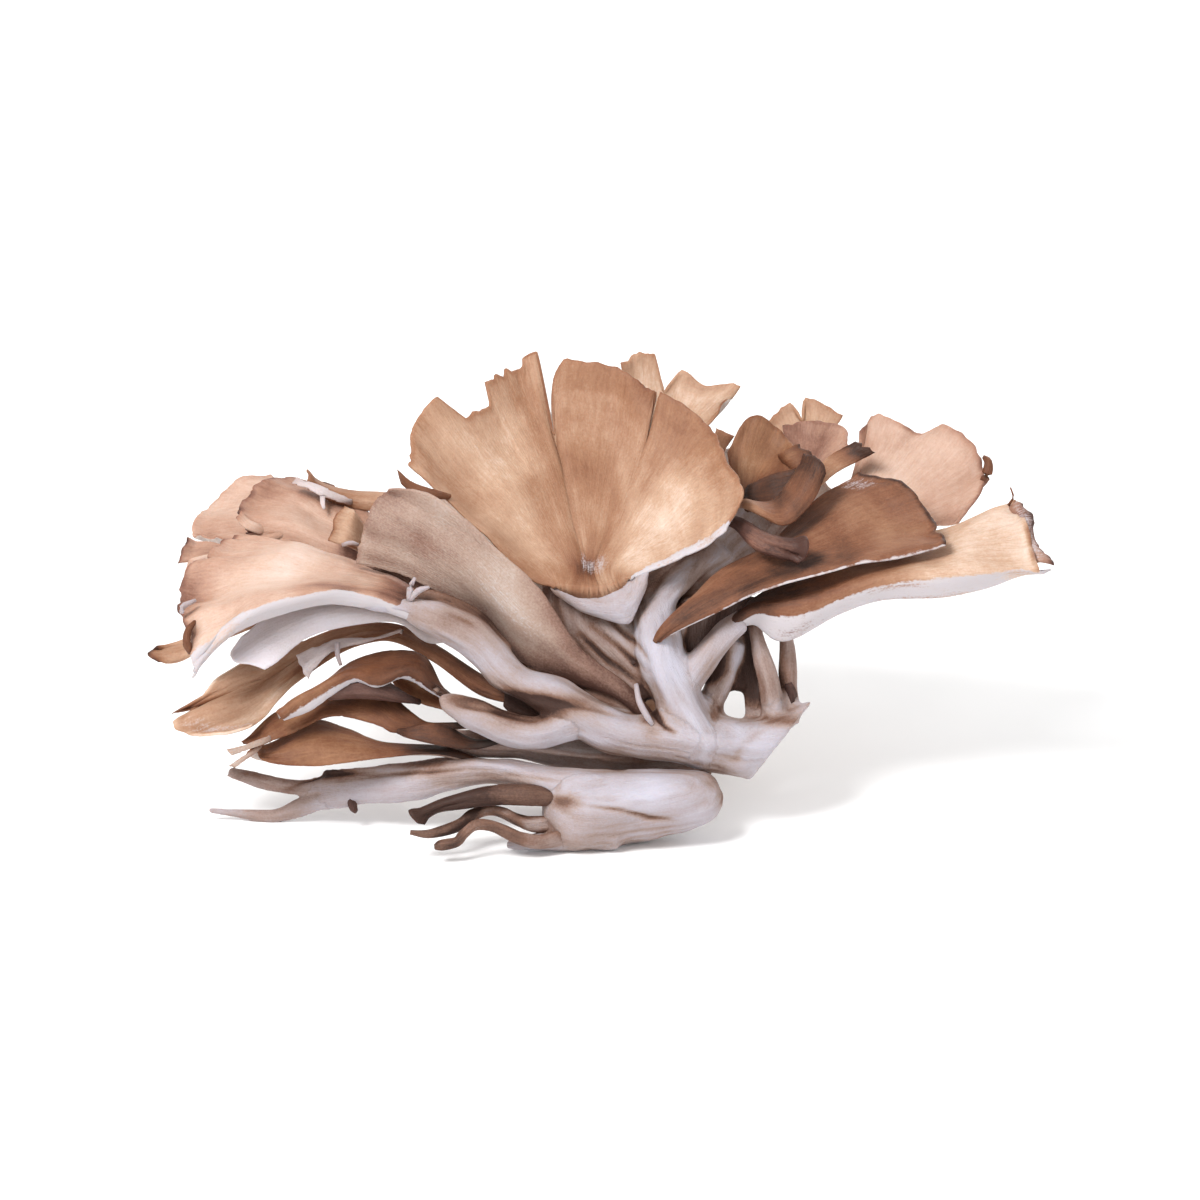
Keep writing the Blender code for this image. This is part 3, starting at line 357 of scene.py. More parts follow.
USUAL = dict(
    cell=0.42, sink=1.0, gather=0.35, wave=(0.0, 1.0, 0.0), ragged=0.4, fray=0.12, furrow=0.12,
    pleat=0.45, ruffle=0.5, roll=0.8, outline=[(0, 1), (1, 1)], tears=(), tones=(0, 0, 0), edge=-0.3,
    stains_and_shading=(), pale=())
print("usual habits:", ", ".join(USUAL))

# %% [markdown]
# ## The middle: the big cap and the pale frond
# The big cap is the widest fan of the cluster. It has many rails because its outline is
# stepped at the upper left and two long tears split it. The pale frond leans on its left
# and turns its pore side to the front.

# %% The table of the middle fronds
MIDDLE_FRONDS = {
    "big_cap": dict(
        root=2.6, sink=0.3, skins=TAN, cell=0.36, wave=(0.4, 4.0, 0.4), ragged=0.7, roll=0.2,
        tones=(-0.05, 0.1, 0.12), edge=-0.35, bare=0.978,
        outline=[(0, 1), (0.1, 1), (0.151, 1.03), (0.173, 0.9), (0.222, 0.905), (0.232, 1.0),
                 (0.25, 0.985), (0.256, 1.01), (0.275, 0.97), (0.283, 1.005), (0.3, 0.975),
                 (0.335, 0.98), (0.342, 1.02), (0.4, 1.02), (0.5, 1), (1, 1)],
        tears=[(0.438, 0.381, 0.66, 0.042), (0.672, 0.691, 0.765, 0.017)],
        # Of these, the dark spot at the root is painted shade in the funnel and the pale pair on the right
        # is a painted highlight
        stains_and_shading=[(0.5, 0.12, 0.3, 0.07, -0.85), (0.62, 0.93, 0.15, 0.16, -0.3),
                (0.8, 0.92, 0.12, 0.15, -0.35), (0.84, 0.6, 0.1, 0.34, 0.45),
                (0.9, 0.25, 0.12, 0.25, 0.55), (0.2, 0.8, 0.08, 0.2, 0.3),
                (0.372, 0.56, 0.006, 0.09, 0.5), (0.46, 0.6, 0.05, 0.4, -0.2),
                (0.12, 0.5, 0.07, 0.4, 0.3), (0.72, 0.1, 0.12, 0.08, 0.6), (0.97, 0.6, 0.03, 0.4, 0.2)],
        pale=[(0.4, 0.15, 0.1, 0.05, 0.45), (0.55, 0.13, 0.12, 0.04, 0.45), (0.7, 0.14, 0.08, 0.06, 0.5),
              (0.99, 0.35, 0.02, 0.15, -0.35), (0.99, 0.8, 0.02, 0.15, -0.4)],
        rails=[
            [(-8, 2.5, 43.9), (-11.5, 2, 45), (-17, 1, 50.5), (-22, 1, 55), (-27, 1, 59.5), (-32, 2, 64)],
            [(-7, 2.2, 43.8), (-8.5, 4.5, 47), (-13.5, 6, 51.5), (-19, 6.5, 56.5), (-25, 6, 62),
             (-31.4, 4, 69.6)],
            [(-6, 2, 43.6), (-6, 5.5, 47), (-10.5, 8.2, 53.5), (-15.5, 9.5, 60), (-21, 9.5, 67),
             (-27, 8, 75.5)],
            [(-5, 1.8, 43.4), (-4.5, 6, 47), (-8, 10, 55.5), (-12, 13, 63.5), (-16, 14.5, 71),
             (-19.6, 14, 78.6)],
            [(-4, 1.6, 43.2), (-3.5, 6.3, 47), (-6, 11, 56.5), (-9, 15, 65.5), (-12, 17.5, 73.5),
             (-14.6, 18, 81)],
            [(-3, 1.5, 43.1), (-2.8, 6.5, 47), (-4.6, 11.5, 56.5), (-6.8, 16, 66), (-9, 18.5, 74.5),
             (-11, 19, 83)],
            [(-2, 1.4, 43), (-2.2, 6.5, 47), (-3.2, 11.5, 56.5), (-4.7, 16, 66), (-6.4, 18.5, 74.5),
             (-8, 19, 82.7)],
            [(-1, 1.3, 43), (-1.4, 6.3, 47), (-0.4, 11.3, 56), (1, 15.8, 65), (2.3, 18, 73.5),
             (3.2, 18, 80.6)],
            [(0, 1.2, 43), (-0.6, 6, 47), (1.6, 10.8, 55), (4.2, 14.8, 63.5), (6.6, 16.5, 71),
             (8.4, 16, 77)],
            [(1, 1.2, 43.2), (0.2, 5.8, 47), (2.8, 10, 54), (5.8, 13.6, 62), (8.4, 15.2, 69.5),
             (10.2, 15, 76.4)],
            [(2, 1.2, 43.6), (1.2, 5.5, 47), (4.6, 8.6, 52.5), (9, 11, 60), (13.4, 11.6, 66.5),
             (17.2, 10, 72)],
            [(3, 1.2, 44.1), (2.8, 5, 47), (7, 7, 51.5), (12, 8, 57.5), (16.6, 7.4, 62.5),
             (20.6, 4.5, 66)],
            [(4, 1.3, 44.8), (5, 4, 47), (9.6, 4.4, 49.8), (14.5, 4, 53.2), (19.5, 2, 56.6),
             (23.6, -1, 59.5)],
            [(5.5, 1.6, 45.4), (8, 1.5, 46.3), (11.8, 0.8, 47.6), (15, 0, 49.2), (18.2, -1, 51),
             (21, -2, 53)],
        ]),
    "pale_frond": dict(
        root=2.4, foot=(9.5, 5.0, 20.5), gather=0.9, skins=PORES, wave=(0.5, 1.5, 0.0), ragged=0.6,
        fray=0.25, furrow=0.06, roll=0.5, tones=(-0.55, 0.35, -0.05),
        # The dark spot on its lower side near the root is painted shade
        stains_and_shading=[(0.5, 0.75, 0.2, 0.14, -0.2), (0.0, 0.3, 0.2, 0.3, -0.7), (1.0, 0.2, 0.2, 0.3, -0.5),
                (0.3, 0.85, 0.4, 0.2, -0.15)],
        pale=[(0.5, 0.45, 0.3, 0.25, 0.25)],
        rails=[
            [(4.4, 1.2, 27.6), (-3.5, 0, 34), (-10, -3, 43.5), (-18, -4, 51), (-27.5, -4, 59),
             (-35, -2, 60)],
            [(4, 1.6, 27), (-5, 1, 32.5), (-12, -1, 39), (-20, -1.5, 47), (-30, -1, 54), (-37, 0, 58.5)],
            [(3.4, 2.2, 26.4), (-6, 2.6, 31.2), (-13.6, 2, 36.5), (-21, 1.6, 43), (-31.5, 1, 50),
             (-39.5, 2, 53.6)],
            [(2.6, 3.4, 25.6), (-7, 5.2, 28.4), (-14, 5.2, 32.6), (-20, 4.6, 39.3), (-31, 2.6, 45),
             (-40.6, 2.6, 47.8)],
        ]),
}
print("middle fronds:", ", ".join(MIDDLE_FRONDS))

# %% [markdown]
# ## The left: long pink fronds in layers
# On the left the fronds lie over each other like shingles. The front one shows its white
# pore edge along its lower side, and the lilac one under it shows only pores.

# %% The table of the left fronds
LEFT_FRONDS = {
    "left_front_frond": dict(
        root=2.6, foot=(-23, 0.5, 36.5), gather=0.45, skins=PINK, wave=(0.7, 3.0, 0.3), ragged=1.0,
        fray=0.25, furrow=0.14, pleat=0.7, ruffle=1.5, roll=1.0, tones=(0.15, 0.5, 0.35), edge=-0.9,
        bare=0.79,
        stains_and_shading=[(0.66, 0.3, 0.12, 0.35, -0.6), (0.18, 0.98, 0.35, 0.12, -0.35),
                (0.5, 0.97, 0.12, 0.06, -0.5), (0.7, 0.9, 0.2, 0.1, 0.3), (0.4, -0.05, 0.6, 0.12, -0.6)],
        pale=[(0.9, 0.8, 0.12, 0.14, -0.5)],
        rails=[
            [(-33.0, 5.4, 44.6), (-37, 7.2, 46.4), (-42, 8.6, 48.4), (-50, 10.6, 51), (-61, 11, 52.5)],
            [(-33.6, 1.0, 43.6), (-38, 1.4, 45), (-44, 2, 46.4), (-53.5, 3, 48.2), (-66.5, 4, 48.5)],
            [(-34.2, -3.0, 42.3), (-38.5, -4, 43.5), (-45, -5, 44.5), (-56, -5, 43.5), (-70, -3, 41.5)],
            [(-34.6, -5, 41.2), (-39, -7, 42.6), (-46, -10, 43.2), (-57.5, -12, 40.5),
             (-67.5, -10, 33.5)],
            [(-34.8, -4.4, 39.4), (-39.2, -5.6, 40.6), (-46.5, -8, 40.8), (-59, -9.5, 36.5),
             (-68, -8, 29.5)],
        ]),
    "upper_left_frond": dict(
        root=2.0, foot=(-34, 14, 49.2), gather=0.25, skins=PINK, wave=(0.9, 2.5, 1.0), ragged=1.1,
        pleat=0.9, ruffle=1.2, tones=(-0.1, 0.1, -0.1), edge=-1.0,
        stains_and_shading=[(0.4, 0.5, 0.3, 0.4, 0.25), (0.9, 0.6, 0.15, 0.4, -0.3), (0.3, 0.05, 0.6, 0.15, -0.4)],
        rails=[
            [(-40.5, 12.2, 48), (-45.5, 13.6, 49), (-52.5, 15, 51), (-59.5, 15.4, 53)],
            [(-39.5, 12.6, 49.8), (-46, 14.8, 52), (-52.5, 16.6, 54.5), (-60.5, 18, 55.5)],
            [(-39, 13, 51), (-45, 17, 54.5), (-51, 20, 58), (-58.5, 21, 59.5)],
            [(-38.5, 15, 52), (-42.5, 19, 56.5), (-47, 23, 59.5), (-52.5, 25, 62)],
            [(-37.5, 17, 53.5), (-39, 20, 57), (-41, 24, 59), (-45, 27, 61)],
        ]),
    "back_left_frond": dict(
        root=1.6, foot=(-39, 20, 50.8), gather=0.25, skins=PINK, wave=(0.6, 2.0, 0.5), ragged=0.9,
        furrow=0.1, pleat=0.8, ruffle=0.9, tones=(0.2, 0.4, 0.3),
        stains_and_shading=[(0.5, 0.5, 0.2, 0.4, 0.2), (0.2, 0.9, 0.3, 0.1, -0.3)],
        rails=[
            [(-44, 19, 50.5), (-55, 21, 51.5), (-64.5, 21, 51.5)],
            [(-44, 20, 51.5), (-56.5, 23, 53), (-68.5, 25, 52.5)],
            [(-43.5, 21, 53), (-56.5, 26, 56.5), (-67, 29, 57)],
            [(-43, 23, 54), (-54, 28, 58), (-62.5, 32, 61)],
            [(-42.5, 24, 55.5), (-50, 30, 59), (-55.5, 34, 62)],
        ]),
    "leaf_flap": dict(
        root=1.4, foot=(-38.6, 12.6, 50.8), gather=0.6, skins=TAN, ragged=0.5, ruffle=0.8,
        tones=(0.3, 0.5, 0.1), edge=-0.8,
        rails=[
            [(-41.6, 8.4, 50.4), (-43.2, 8.2, 51), (-45.4, 8.6, 51.5)],
            [(-41.2, 9.4, 53.4), (-42.4, 9.6, 54.4), (-44.6, 10.6, 54.6)],
            [(-40.6, 10.6, 56.2), (-41.2, 11, 56.8), (-42.6, 12.4, 57.3)],
        ]),
    "small_fold": dict(
        root=1.2, foot=(-52.5, 15.8, 52.8), gather=0.5, skins=PINK, ragged=0.6, tones=(0.1, 0.2, 0.0),
        edge=-1.2,
        rails=[
            [(-61.5, 14, 49.5), (-66, 13, 48.8), (-70.5, 12, 47.5)],
            [(-61.5, 15.5, 51), (-65.5, 16, 51.5), (-69, 16, 51.5)],
        ]),
    "left_tongue": dict(
        root=1.6, foot=(-40, 2.6, 41), gather=0.6, skins=TAN, wave=(0.5, 1.0, 0.0), ragged=0.5, pleat=0.6,
        tones=(-0.1, 0.4, 0.2), edge=-1.2,
        rails=[
            [(-47, 3.4, 43.2), (-55, 3.6, 41.6), (-64, 2.4, 38), (-69, 1.5, 35.2), (-73.6, 1, 33.9)],
            [(-47.4, 2.9, 41.4), (-55, 3, 39.6), (-64.2, 1.6, 36), (-69.3, 0.8, 33.3),
             (-75.2, 0.5, 32.6)],
            [(-47.8, 2.7, 39.8), (-55, 2.6, 38), (-64.5, 1, 34.2), (-69.6, 0.5, 31.5),
             (-73.4, 0.2, 31.2)],
        ]),
    "left_under_frond": dict(
        root=2.0, foot=(-23, -1, 36), gather=0.4, skins=LILAC, wave=(0.3, 1.0, 0.0), fray=0.2,
        furrow=0.06, pleat=0.3, roll=0.3, tones=(0.6, 1.1, 1.1), edge=-0.1,
        outline=[(0, 0.97), (0.3, 1.0), (0.6, 0.99), (1, 0.88)],
        rails=[
            [(-28.5, 4, 37), (-35, 3, 40.5), (-45, 1, 42), (-54, -1, 39.5), (-60.5, -1.5, 34.5)],
            [(-28.5, 3, 36), (-35, 1, 39.5), (-46, -2, 39.5), (-54.5, -3.5, 36), (-61.2, -3, 31.5)],
            [(-28.5, 3, 34.5), (-34.5, 1, 38), (-47, -2, 36), (-54, -4.2, 31), (-58.4, -4, 28.2)],
        ]),
    "pore_flap": dict(
        root=1.0, foot=(-33, 4.5, 36.5), gather=0.6, skins=LILAC, ragged=0.9, fray=0.6, ruffle=1.0,
        roll=0.3, tones=(0.2, 0.6, 0.6), edge=0.0,
        rails=[
            [(-36.7, 4.0, 35.4), (-44.2, 3, 35.2), (-50.7, 2.5, 32.3)],
            [(-38, 3.5, 34.8), (-44.8, 2, 33), (-48.5, 1.2, 28.2)],
        ]),
}
print("left fronds:", ", ".join(LEFT_FRONDS))

# %% [markdown]
# ## Lower left: brown leaves in the shade
# Below the big limb the fronds got less light and stayed small, brown and curled. The
# wrinkled web is the tissue that joins the stem and the lower branch, and the curly strap
# is a leaf that dried to a strip. Both are thin bent sheets, so they are drawn by rails too.

# %% The table of the low leaves
LOW_FRONDS = {
    "lower_left_fan": dict(
        root=2.0, foot=(-13, 4, 25), gather=0.6, skins=TAN, wave=(0.7, 2.5, 0.8), ragged=0.6, furrow=0.14,
        pleat=0.8, ruffle=1.3, roll=1.0, tones=(-0.5, 0.1, 0.4), edge=0.6,
        outline=[(0, 0.92), (0.1, 0.97), (0.27, 0.94), (0.333, 1.0), (0.37, 0.95), (0.45, 0.97),
                 (0.6, 1.0), (0.8, 1.0), (0.9, 0.97), (1, 0.9)],
        stains_and_shading=[(0.5, 0.2, 0.8, 0.3, 0.2), (0.55, 0.62, 0.3, 0.12, -0.4), (0.95, 0.7, 0.15, 0.3, 0.3),
                (0.333, 0.98, 0.05, 0.05, -1.2)],
        pale=[(0.8, 0.95, 0.25, 0.04, 0.4)],
        rails=[
            [(-17.8, 6.5, 28.2), (-26.5, 7, 33.8), (-33.3, 8, 37.6), (-42.5, 9, 37.2), (-52.5, 9, 33.7),
             (-61.3, 8, 31)],
            [(-18.5, 6.2, 27.3), (-27.2, 6.5, 33), (-34.2, 7.3, 36.7), (-43.7, 7.5, 35), (-55, 6, 29.7),
             (-71.4, 3.2, 22.9)],
            [(-19.3, 5.9, 26.7), (-27.8, 6.2, 32.3), (-35.3, 6.6, 35.8), (-45, 6, 33.3),
             (-55.8, 3.5, 25.8), (-69.9, 1, 19.8)],
            [(-20.2, 5.6, 26), (-28.3, 6, 31.7), (-36.7, 6, 35), (-46, 4.5, 31), (-54.2, 2, 24.3),
             (-60.4, -1, 17.4)],
        ]),
    "middle_frond": dict(
        root=1.6, foot=(-21, -0.8, 23), gather=0.4, skins=BROWN, wave=(0.3, 1.0, 0.0), ragged=0.5,
        fray=0.3, pleat=0.8, ruffle=0.9, tones=(-0.5, 0.0, 0.3), bare=0.84,
        rails=[
            [(-25.9, 2.5, 27), (-29, 2.5, 32.2), (-34.3, 3, 33.3), (-41.7, 2.5, 31.2),
             (-48.5, 0.5, 25.8), (-53.2, -1.5, 21.9)],
            [(-26.4, 1.6, 26.6), (-30, 0.5, 31), (-34.7, 0.5, 31.3), (-41.4, 0, 30.2), (-48.4, -1, 26),
             (-53.1, -2, 22.1)],
            [(-27.4, 0.6, 27), (-31.5, -1, 30), (-36.7, -2, 28.4), (-41.3, -2.5, 29.5), (-48.3, -3, 26),
             (-52.9, -2.6, 22.2)],
            [(-28, 1.2, 26.2), (-32.5, 0, 28.6), (-37, -1, 27.2), (-41.2, -1.5, 27.9),
             (-47.5, -2.2, 23.6), (-52.4, -2.4, 21.5)],
        ]),
    "hollow_leaf": dict(
        root=1.2, foot=(-20.5, 1.5, 22.5), gather=0.4, skins=BROWN, ruffle=0.8, tones=(0.2, 0.6, 0.5),
        rails=[
            [(-26.2, 5.4, 26.6), (-29.8, 5.6, 29.6), (-35, 5.2, 31.2)],
            [(-26.2, 7, 25), (-30, 8.4, 27.4), (-35.6, 7.4, 29.4)],
            [(-26.4, 5.6, 23.4), (-30.2, 6.4, 24.6), (-35, 6.8, 28.2)],
        ]),
    "arched_leaf": dict(
        root=1.2, foot=(-20.5, 0, 21), gather=0.5, skins=BROWN, wave=(0.3, 1.0, 0.5), fray=0.2,
        ruffle=0.8, tones=(-0.3, 0.15, 0.2),
        rails=[
            [(-27.5, 4, 21.2), (-30, 4.2, 22.2), (-33.3, 5.0, 24.8), (-37, 6.3, 27.3), (-45, 7, 27),
             (-52.5, 5, 24), (-59.6, 1.2, 18)],
            [(-28, 3.2, 20), (-31, 3, 20), (-34.5, 2.5, 19.7), (-38, 3, 21.2), (-44.5, 3, 22.3),
             (-51.5, 1.6, 19.3), (-57.5, 0.4, 17)],
        ]),
    "lower_brown_blade": dict(
        root=1.6, foot=(-19, 4, 14.3), gather=0.4, skins=BROWN, wave=(0.3, 1.0, 0.0), pleat=0.6,
        ruffle=0.7, tones=(-0.4, 0.35, 0.4), edge=0.2,
        rails=[
            [(-27, 5.0, 17.4), (-36, 5, 18), (-42, 5.5, 20.2), (-47.5, 5.5, 21.6), (-53.5, 4, 18.8),
             (-57.3, 2.6, 17)],
            [(-27, 3.6, 16.8), (-36, 3, 17), (-42, 2.6, 17.6), (-47.5, 2.2, 18), (-53.6, 1.6, 16.6),
             (-58.6, 1.2, 16)],
            [(-27, 2.4, 16.4), (-35, 1, 15.8), (-41, 0.6, 14.8), (-47, 0.4, 14.1), (-53.5, 0.4, 14.4),
             (-57.8, 0.6, 15.8)],
        ]),
    "pointed_leaf": dict(
        root=1.2, foot=(-15, 0.3, 18.8), gather=0.5, skins=BROWN, ragged=0.3, tones=(-0.6, -0.5, -0.7),
        rails=[
            [(-20.6, 1.6, 18.6), (-25.5, 1.0, 20.8), (-29, 0.6, 21.3), (-33.6, 0.2, 19.9)],
            [(-20.6, 0.6, 17.0), (-25, -0.4, 17.2), (-29.5, -0.6, 18.2), (-33.8, 0, 19.4)],
        ]),
    "wrinkled_web": dict(
        root=1.0, skins=FLESH, wave=(0.2, 1.0, 0.0), ragged=0.3, furrow=1.1, pleat=0.9,
        tones=(0.1, 0.3, 0.2),
        rails=[
            [(17, 12, 18), (0, 8.8, 20), (-14, 6.2, 20.2), (-25.5, 6.6, 19.8)],
            [(17, 11.6, 16.4), (0, 6.8, 17.2), (-14, 4.2, 18.6), (-25.5, 5.6, 18.9)],
            [(17, 11.4, 15), (0, 5, 15.5), (-14, 2.9, 17.1), (-25.5, 4.9, 18.2)],
            [(17, 12, 13.8), (0, 7, 14.3), (-14, 4.8, 16.7), (-25.5, 5.8, 17.6)],
            [(17, 12.6, 12.6), (0, 9.8, 12.8), (-14, 7.8, 15), (-25.5, 8, 16.6)],
        ]),
    "curly_strap": dict(
        root=2.0, foot=(-5.5, 1, 8.6), gather=0.8, skins=FLESH, wave=(0.3, 2.0, 0.0), ragged=0.5,
        furrow=0.5, pleat=0.9, ruffle=0.8, tones=(-0.8, -1.2, -1.5),
        rails=[
            [(-11.7, -1.2, 11), (-18, -1.6, 10.8), (-24.5, -2.2, 9.4), (-28.5, -2.8, 7.8),
             (-31.6, -3.4, 6.2)],
            [(-11.2, -3, 9.3), (-18.6, -3.6, 9.2), (-25, -4.2, 8), (-28.4, -4.6, 6.8), (-31, -4.8, 5.4)],
            [(-11.2, -2.4, 7.6), (-19, -3, 7.6), (-25, -3.4, 6.9), (-27.6, -3.8, 5.8),
             (-29.6, -3.8, 4.6)],
        ]),
}
print("low leaves:", ", ".join(LOW_FRONDS))

# %% [markdown]
# ## The right: long blades and a rolled ribbon
# The two long fronds on the right are blades bent lengthwise, with pores showing white
# along their lower side. Above them crowd small fronds, one rolled into a ribbon and one
# shrivelled to a dark strip.

# %% The table of the right fronds
RIGHT_FRONDS = {
    "right_tan_frond": dict(
        root=2.4, foot=(9.3, 2.8, 34.4), gather=0.3, skins=TAN, wave=(0.5, 2.0, 0.0), ragged=0.5,
        ruffle=0.7, roll=0.6, tones=(-0.5, -0.4, -0.4), edge=-0.8, bare=0.992,
        outline=[(0, 0.97), (0.3, 1.0), (0.62, 1.0), (0.7, 1.0), (0.76, 0.98), (0.82, 1.02), (1, 1)],
        stains_and_shading=[(0.75, 0.25, 0.3, 0.35, -0.3), (0.3, 0.75, 0.3, 0.15, 0.12)],
        pale=[(0.1, 0.93, 0.12, 0.05, 0.42)],
        rails=[
            [(10.2, -1, 37.5), (15, 0, 42), (20, 3, 46.5), (26.5, 7, 50), (35, 11, 57.5),
             (44.5, 14, 63.5)],
            [(10.8, -1.3, 37), (16.5, -1, 41.5), (24, 1, 46), (33, 4, 51), (41.5, 7, 56.5),
             (51, 9, 60.5)],
            [(11.4, -1.6, 36.5), (18, -2, 41), (26.5, -1.5, 44.5), (36, 0, 48.5), (45, 2, 51.5),
             (56, 4, 54)],
            [(12, -2, 36), (20, -3, 40), (26.5, -4, 43), (37.5, -4.5, 46.5), (45, -4, 48),
             (57.5, -2, 50)],
        ]),
    "far_right_frond": dict(
        root=2.2, foot=(20.0, 3.0, 35.5), gather=0.4, skins=TAN, wave=(0.5, 2.0, 0.7), ragged=0.6,
        ruffle=0.8, tones=(-0.7, 0.2, 0.9), edge=-1.4, bare=0.76,
        stains_and_shading=[(0.4, 0.75, 0.2, 0.2, -0.15), (0.2, 0.5, 0.2, 0.3, 0.1)],
        pale=[(0.9, 0.9, 0.2, 0.07, -0.6), (0.8, 0.5, 0.05, 0.12, -0.4), (1.0, 0.6, 0.08, 0.2, -0.35),
              (0.9, 0.2, 0.1, 0.1, -0.3)],
        rails=[
            [(25.6, 4.5, 41.8), (33.5, 5.5, 46.4), (45, 7.5, 50.5), (56.5, 10, 53.5), (69.5, 11, 58)],
            [(25.6, 3, 40.8), (33.5, 2, 43.4), (45, 1.8, 47.4), (57, 2.4, 49.8), (71.5, 4, 53)],
            [(25.4, 1.5, 40), (33.5, -1, 40.7), (46, -3, 45), (58, -4, 46.7), (72.5, -3, 47.4)],
            [(25.2, 3, 37.6), (31, 2, 35), (45, -0.5, 41.3), (61, -1.5, 43), (74.8, -1, 46.9)],
        ]),
    "pale_right_frond": dict(
        root=1.8, foot=(36.5, 15.2, 53), gather=0.3, skins=PINK, wave=(0.6, 3.0, 0.2), ragged=0.7,
        furrow=0.1, pleat=0.7, ruffle=1.2, roll=1.0, tones=(-0.1, 0.25, 0.25), edge=-0.8,
        stains_and_shading=[(0.5, 0.75, 0.3, 0.2, 0.25), (0.05, 0.9, 0.06, 0.2, -0.4)],
        rails=[
            [(39, 17, 55), (42, 22, 62), (43.7, 26, 69.7)],
            [(40, 17, 55), (44.5, 23, 64), (46.9, 27, 72.7)],
            [(40.5, 17, 55), (48, 22, 63.5), (53, 26, 70)],
            [(41, 16.5, 54.5), (51, 21, 62), (58.7, 24, 70.6)],
            [(41.5, 16, 54), (54, 19, 58.5), (63.8, 21, 65.6)],
            [(42, 15.5, 53.5), (55, 17.4, 56), (64, 18.8, 60)],
            [(42.5, 15, 53), (54, 16.5, 53.8), (60, 17, 54.3)],
        ]),
    "brown_right_frond": dict(
        root=1.8, foot=(25.2, 13.8, 54.6), gather=0.4, skins=BROWN, wave=(0.5, 2.0, 0.0), ragged=0.5,
        pleat=0.7, ruffle=0.8, tones=(-0.2, 0.35, 0.3),
        stains_and_shading=[(0.35, 0.5, 0.2, 0.3, 0.2), (0.95, 0.5, 0.15, 0.5, -0.4)],
        rails=[
            [(23.6, 12, 58.5), (22.3, 15, 62), (21.2, 17, 66)],
            [(24, 12.3, 58), (23.5, 16, 64), (25, 20, 72)],
            [(24.6, 12.3, 58), (26.5, 17, 64.5), (29.5, 20, 70.5)],
            [(25.2, 12, 58), (28.5, 15, 63), (32.6, 17, 67)],
            [(25.8, 11, 57.5), (30, 12, 60.8), (34.2, 13, 64.5)],
        ]),
    "curled_ribbon": dict(
        root=1.4, foot=(23.6, 9.6, 57.6), gather=0.6, skins=TAN, furrow=0.1, roll=1.2,
        tones=(0.2, -0.9, -0.9),
        rails=[
            [(24, 4, 58.3), (28.3, 5, 58.3), (31.5, 7, 61.3), (34.5, 9, 65.5)],
            [(24.5, 2.4, 57.5), (29.5, 2, 56), (33.5, 3, 59.5), (36.3, 6, 65)],
            [(25, 2.6, 56.6), (30.5, 1.4, 54), (35, 2.4, 57.5), (37.5, 5, 62.5)],
        ]),
    "shrivelled_leaf": dict(
        root=1.4, foot=(19, 6.5, 54.8), gather=0.6, skins=PINK, wave=(0.5, 2.0, 0.3), ragged=0.7,
        furrow=1.0, pleat=1.0, ruffle=1.6, tones=(-1.0, -0.9, -1.3), edge=-0.8,
        rails=[
            [(22.5, 3.4, 55.6), (27.5, -0.4, 53), (34, -2, 51)],
            [(22.5, 2.8, 54.6), (27, -2.4, 51.6), (34.5, -3.6, 49)],
            [(22.5, 3.2, 53.6), (26.5, -1.4, 49.8), (33, -2.4, 47.6)],
        ]),
    "ridge_frond": dict(
        root=1.4, foot=(32.4, 17, 58.8), gather=0.4, skins=TAN, ragged=1.2, ruffle=0.9,
        tones=(0.3, 0.0, -1.2),
        rails=[
            [(34.5, 16, 61), (38, 18.5, 65.5), (43, 19.5, 68)],
            [(36, 15.5, 60), (40.5, 17.5, 63.5), (46.5, 18.5, 66)],
        ]),
    "pinkish_back_frond": dict(
        root=1.4, foot=(34, 19.6, 60.8), gather=0.3, skins=PINK, wave=(0.4, 2.0, 0.0), ragged=0.6,
        furrow=0.1, tones=(-0.4, -0.25, -0.3), edge=-0.4,
        rails=[
            [(33, 20.5, 63.5), (31.5, 23, 67), (30.5, 24.5, 71)],
            [(34, 20.5, 63), (35, 24, 67.5), (35.5, 26, 72)],
            [(35, 20.5, 62.5), (38, 24, 67), (41, 25.5, 70.5)],
            [(35.8, 20.5, 62.5), (39, 22.5, 65.5), (41.6, 23.5, 67)],
        ]),
    "lobed_back_frond": dict(
        root=1.4, foot=(34.4, 22.6, 61), gather=0.4, skins=TAN, wave=(0.4, 2.0, 0.0), ragged=0.6,
        furrow=0.1, tones=(0.3, 0.6, 0.3),
        tears=[(0.5, 0.5, 0.72, 0.08)],
        rails=[
            [(34, 25, 64), (31, 28, 68), (28, 30, 71.5)],
            [(34.5, 25, 64.5), (33, 29, 70), (31, 32, 74.3)],
            [(35, 25, 64.5), (35.5, 29, 70.5), (35.7, 32, 75)],
            [(35.5, 25, 64.5), (38, 28, 69), (41, 30, 72.5)],
        ]),
}
print("right fronds:", ", ".join(RIGHT_FRONDS))

# %% [markdown]
# ## The back
# Fronds grow on every side of a maitake. Some just look over the big cap, and four close
# the back of the cluster. The lowest one has no ragged rim, because the cluster leans on it.

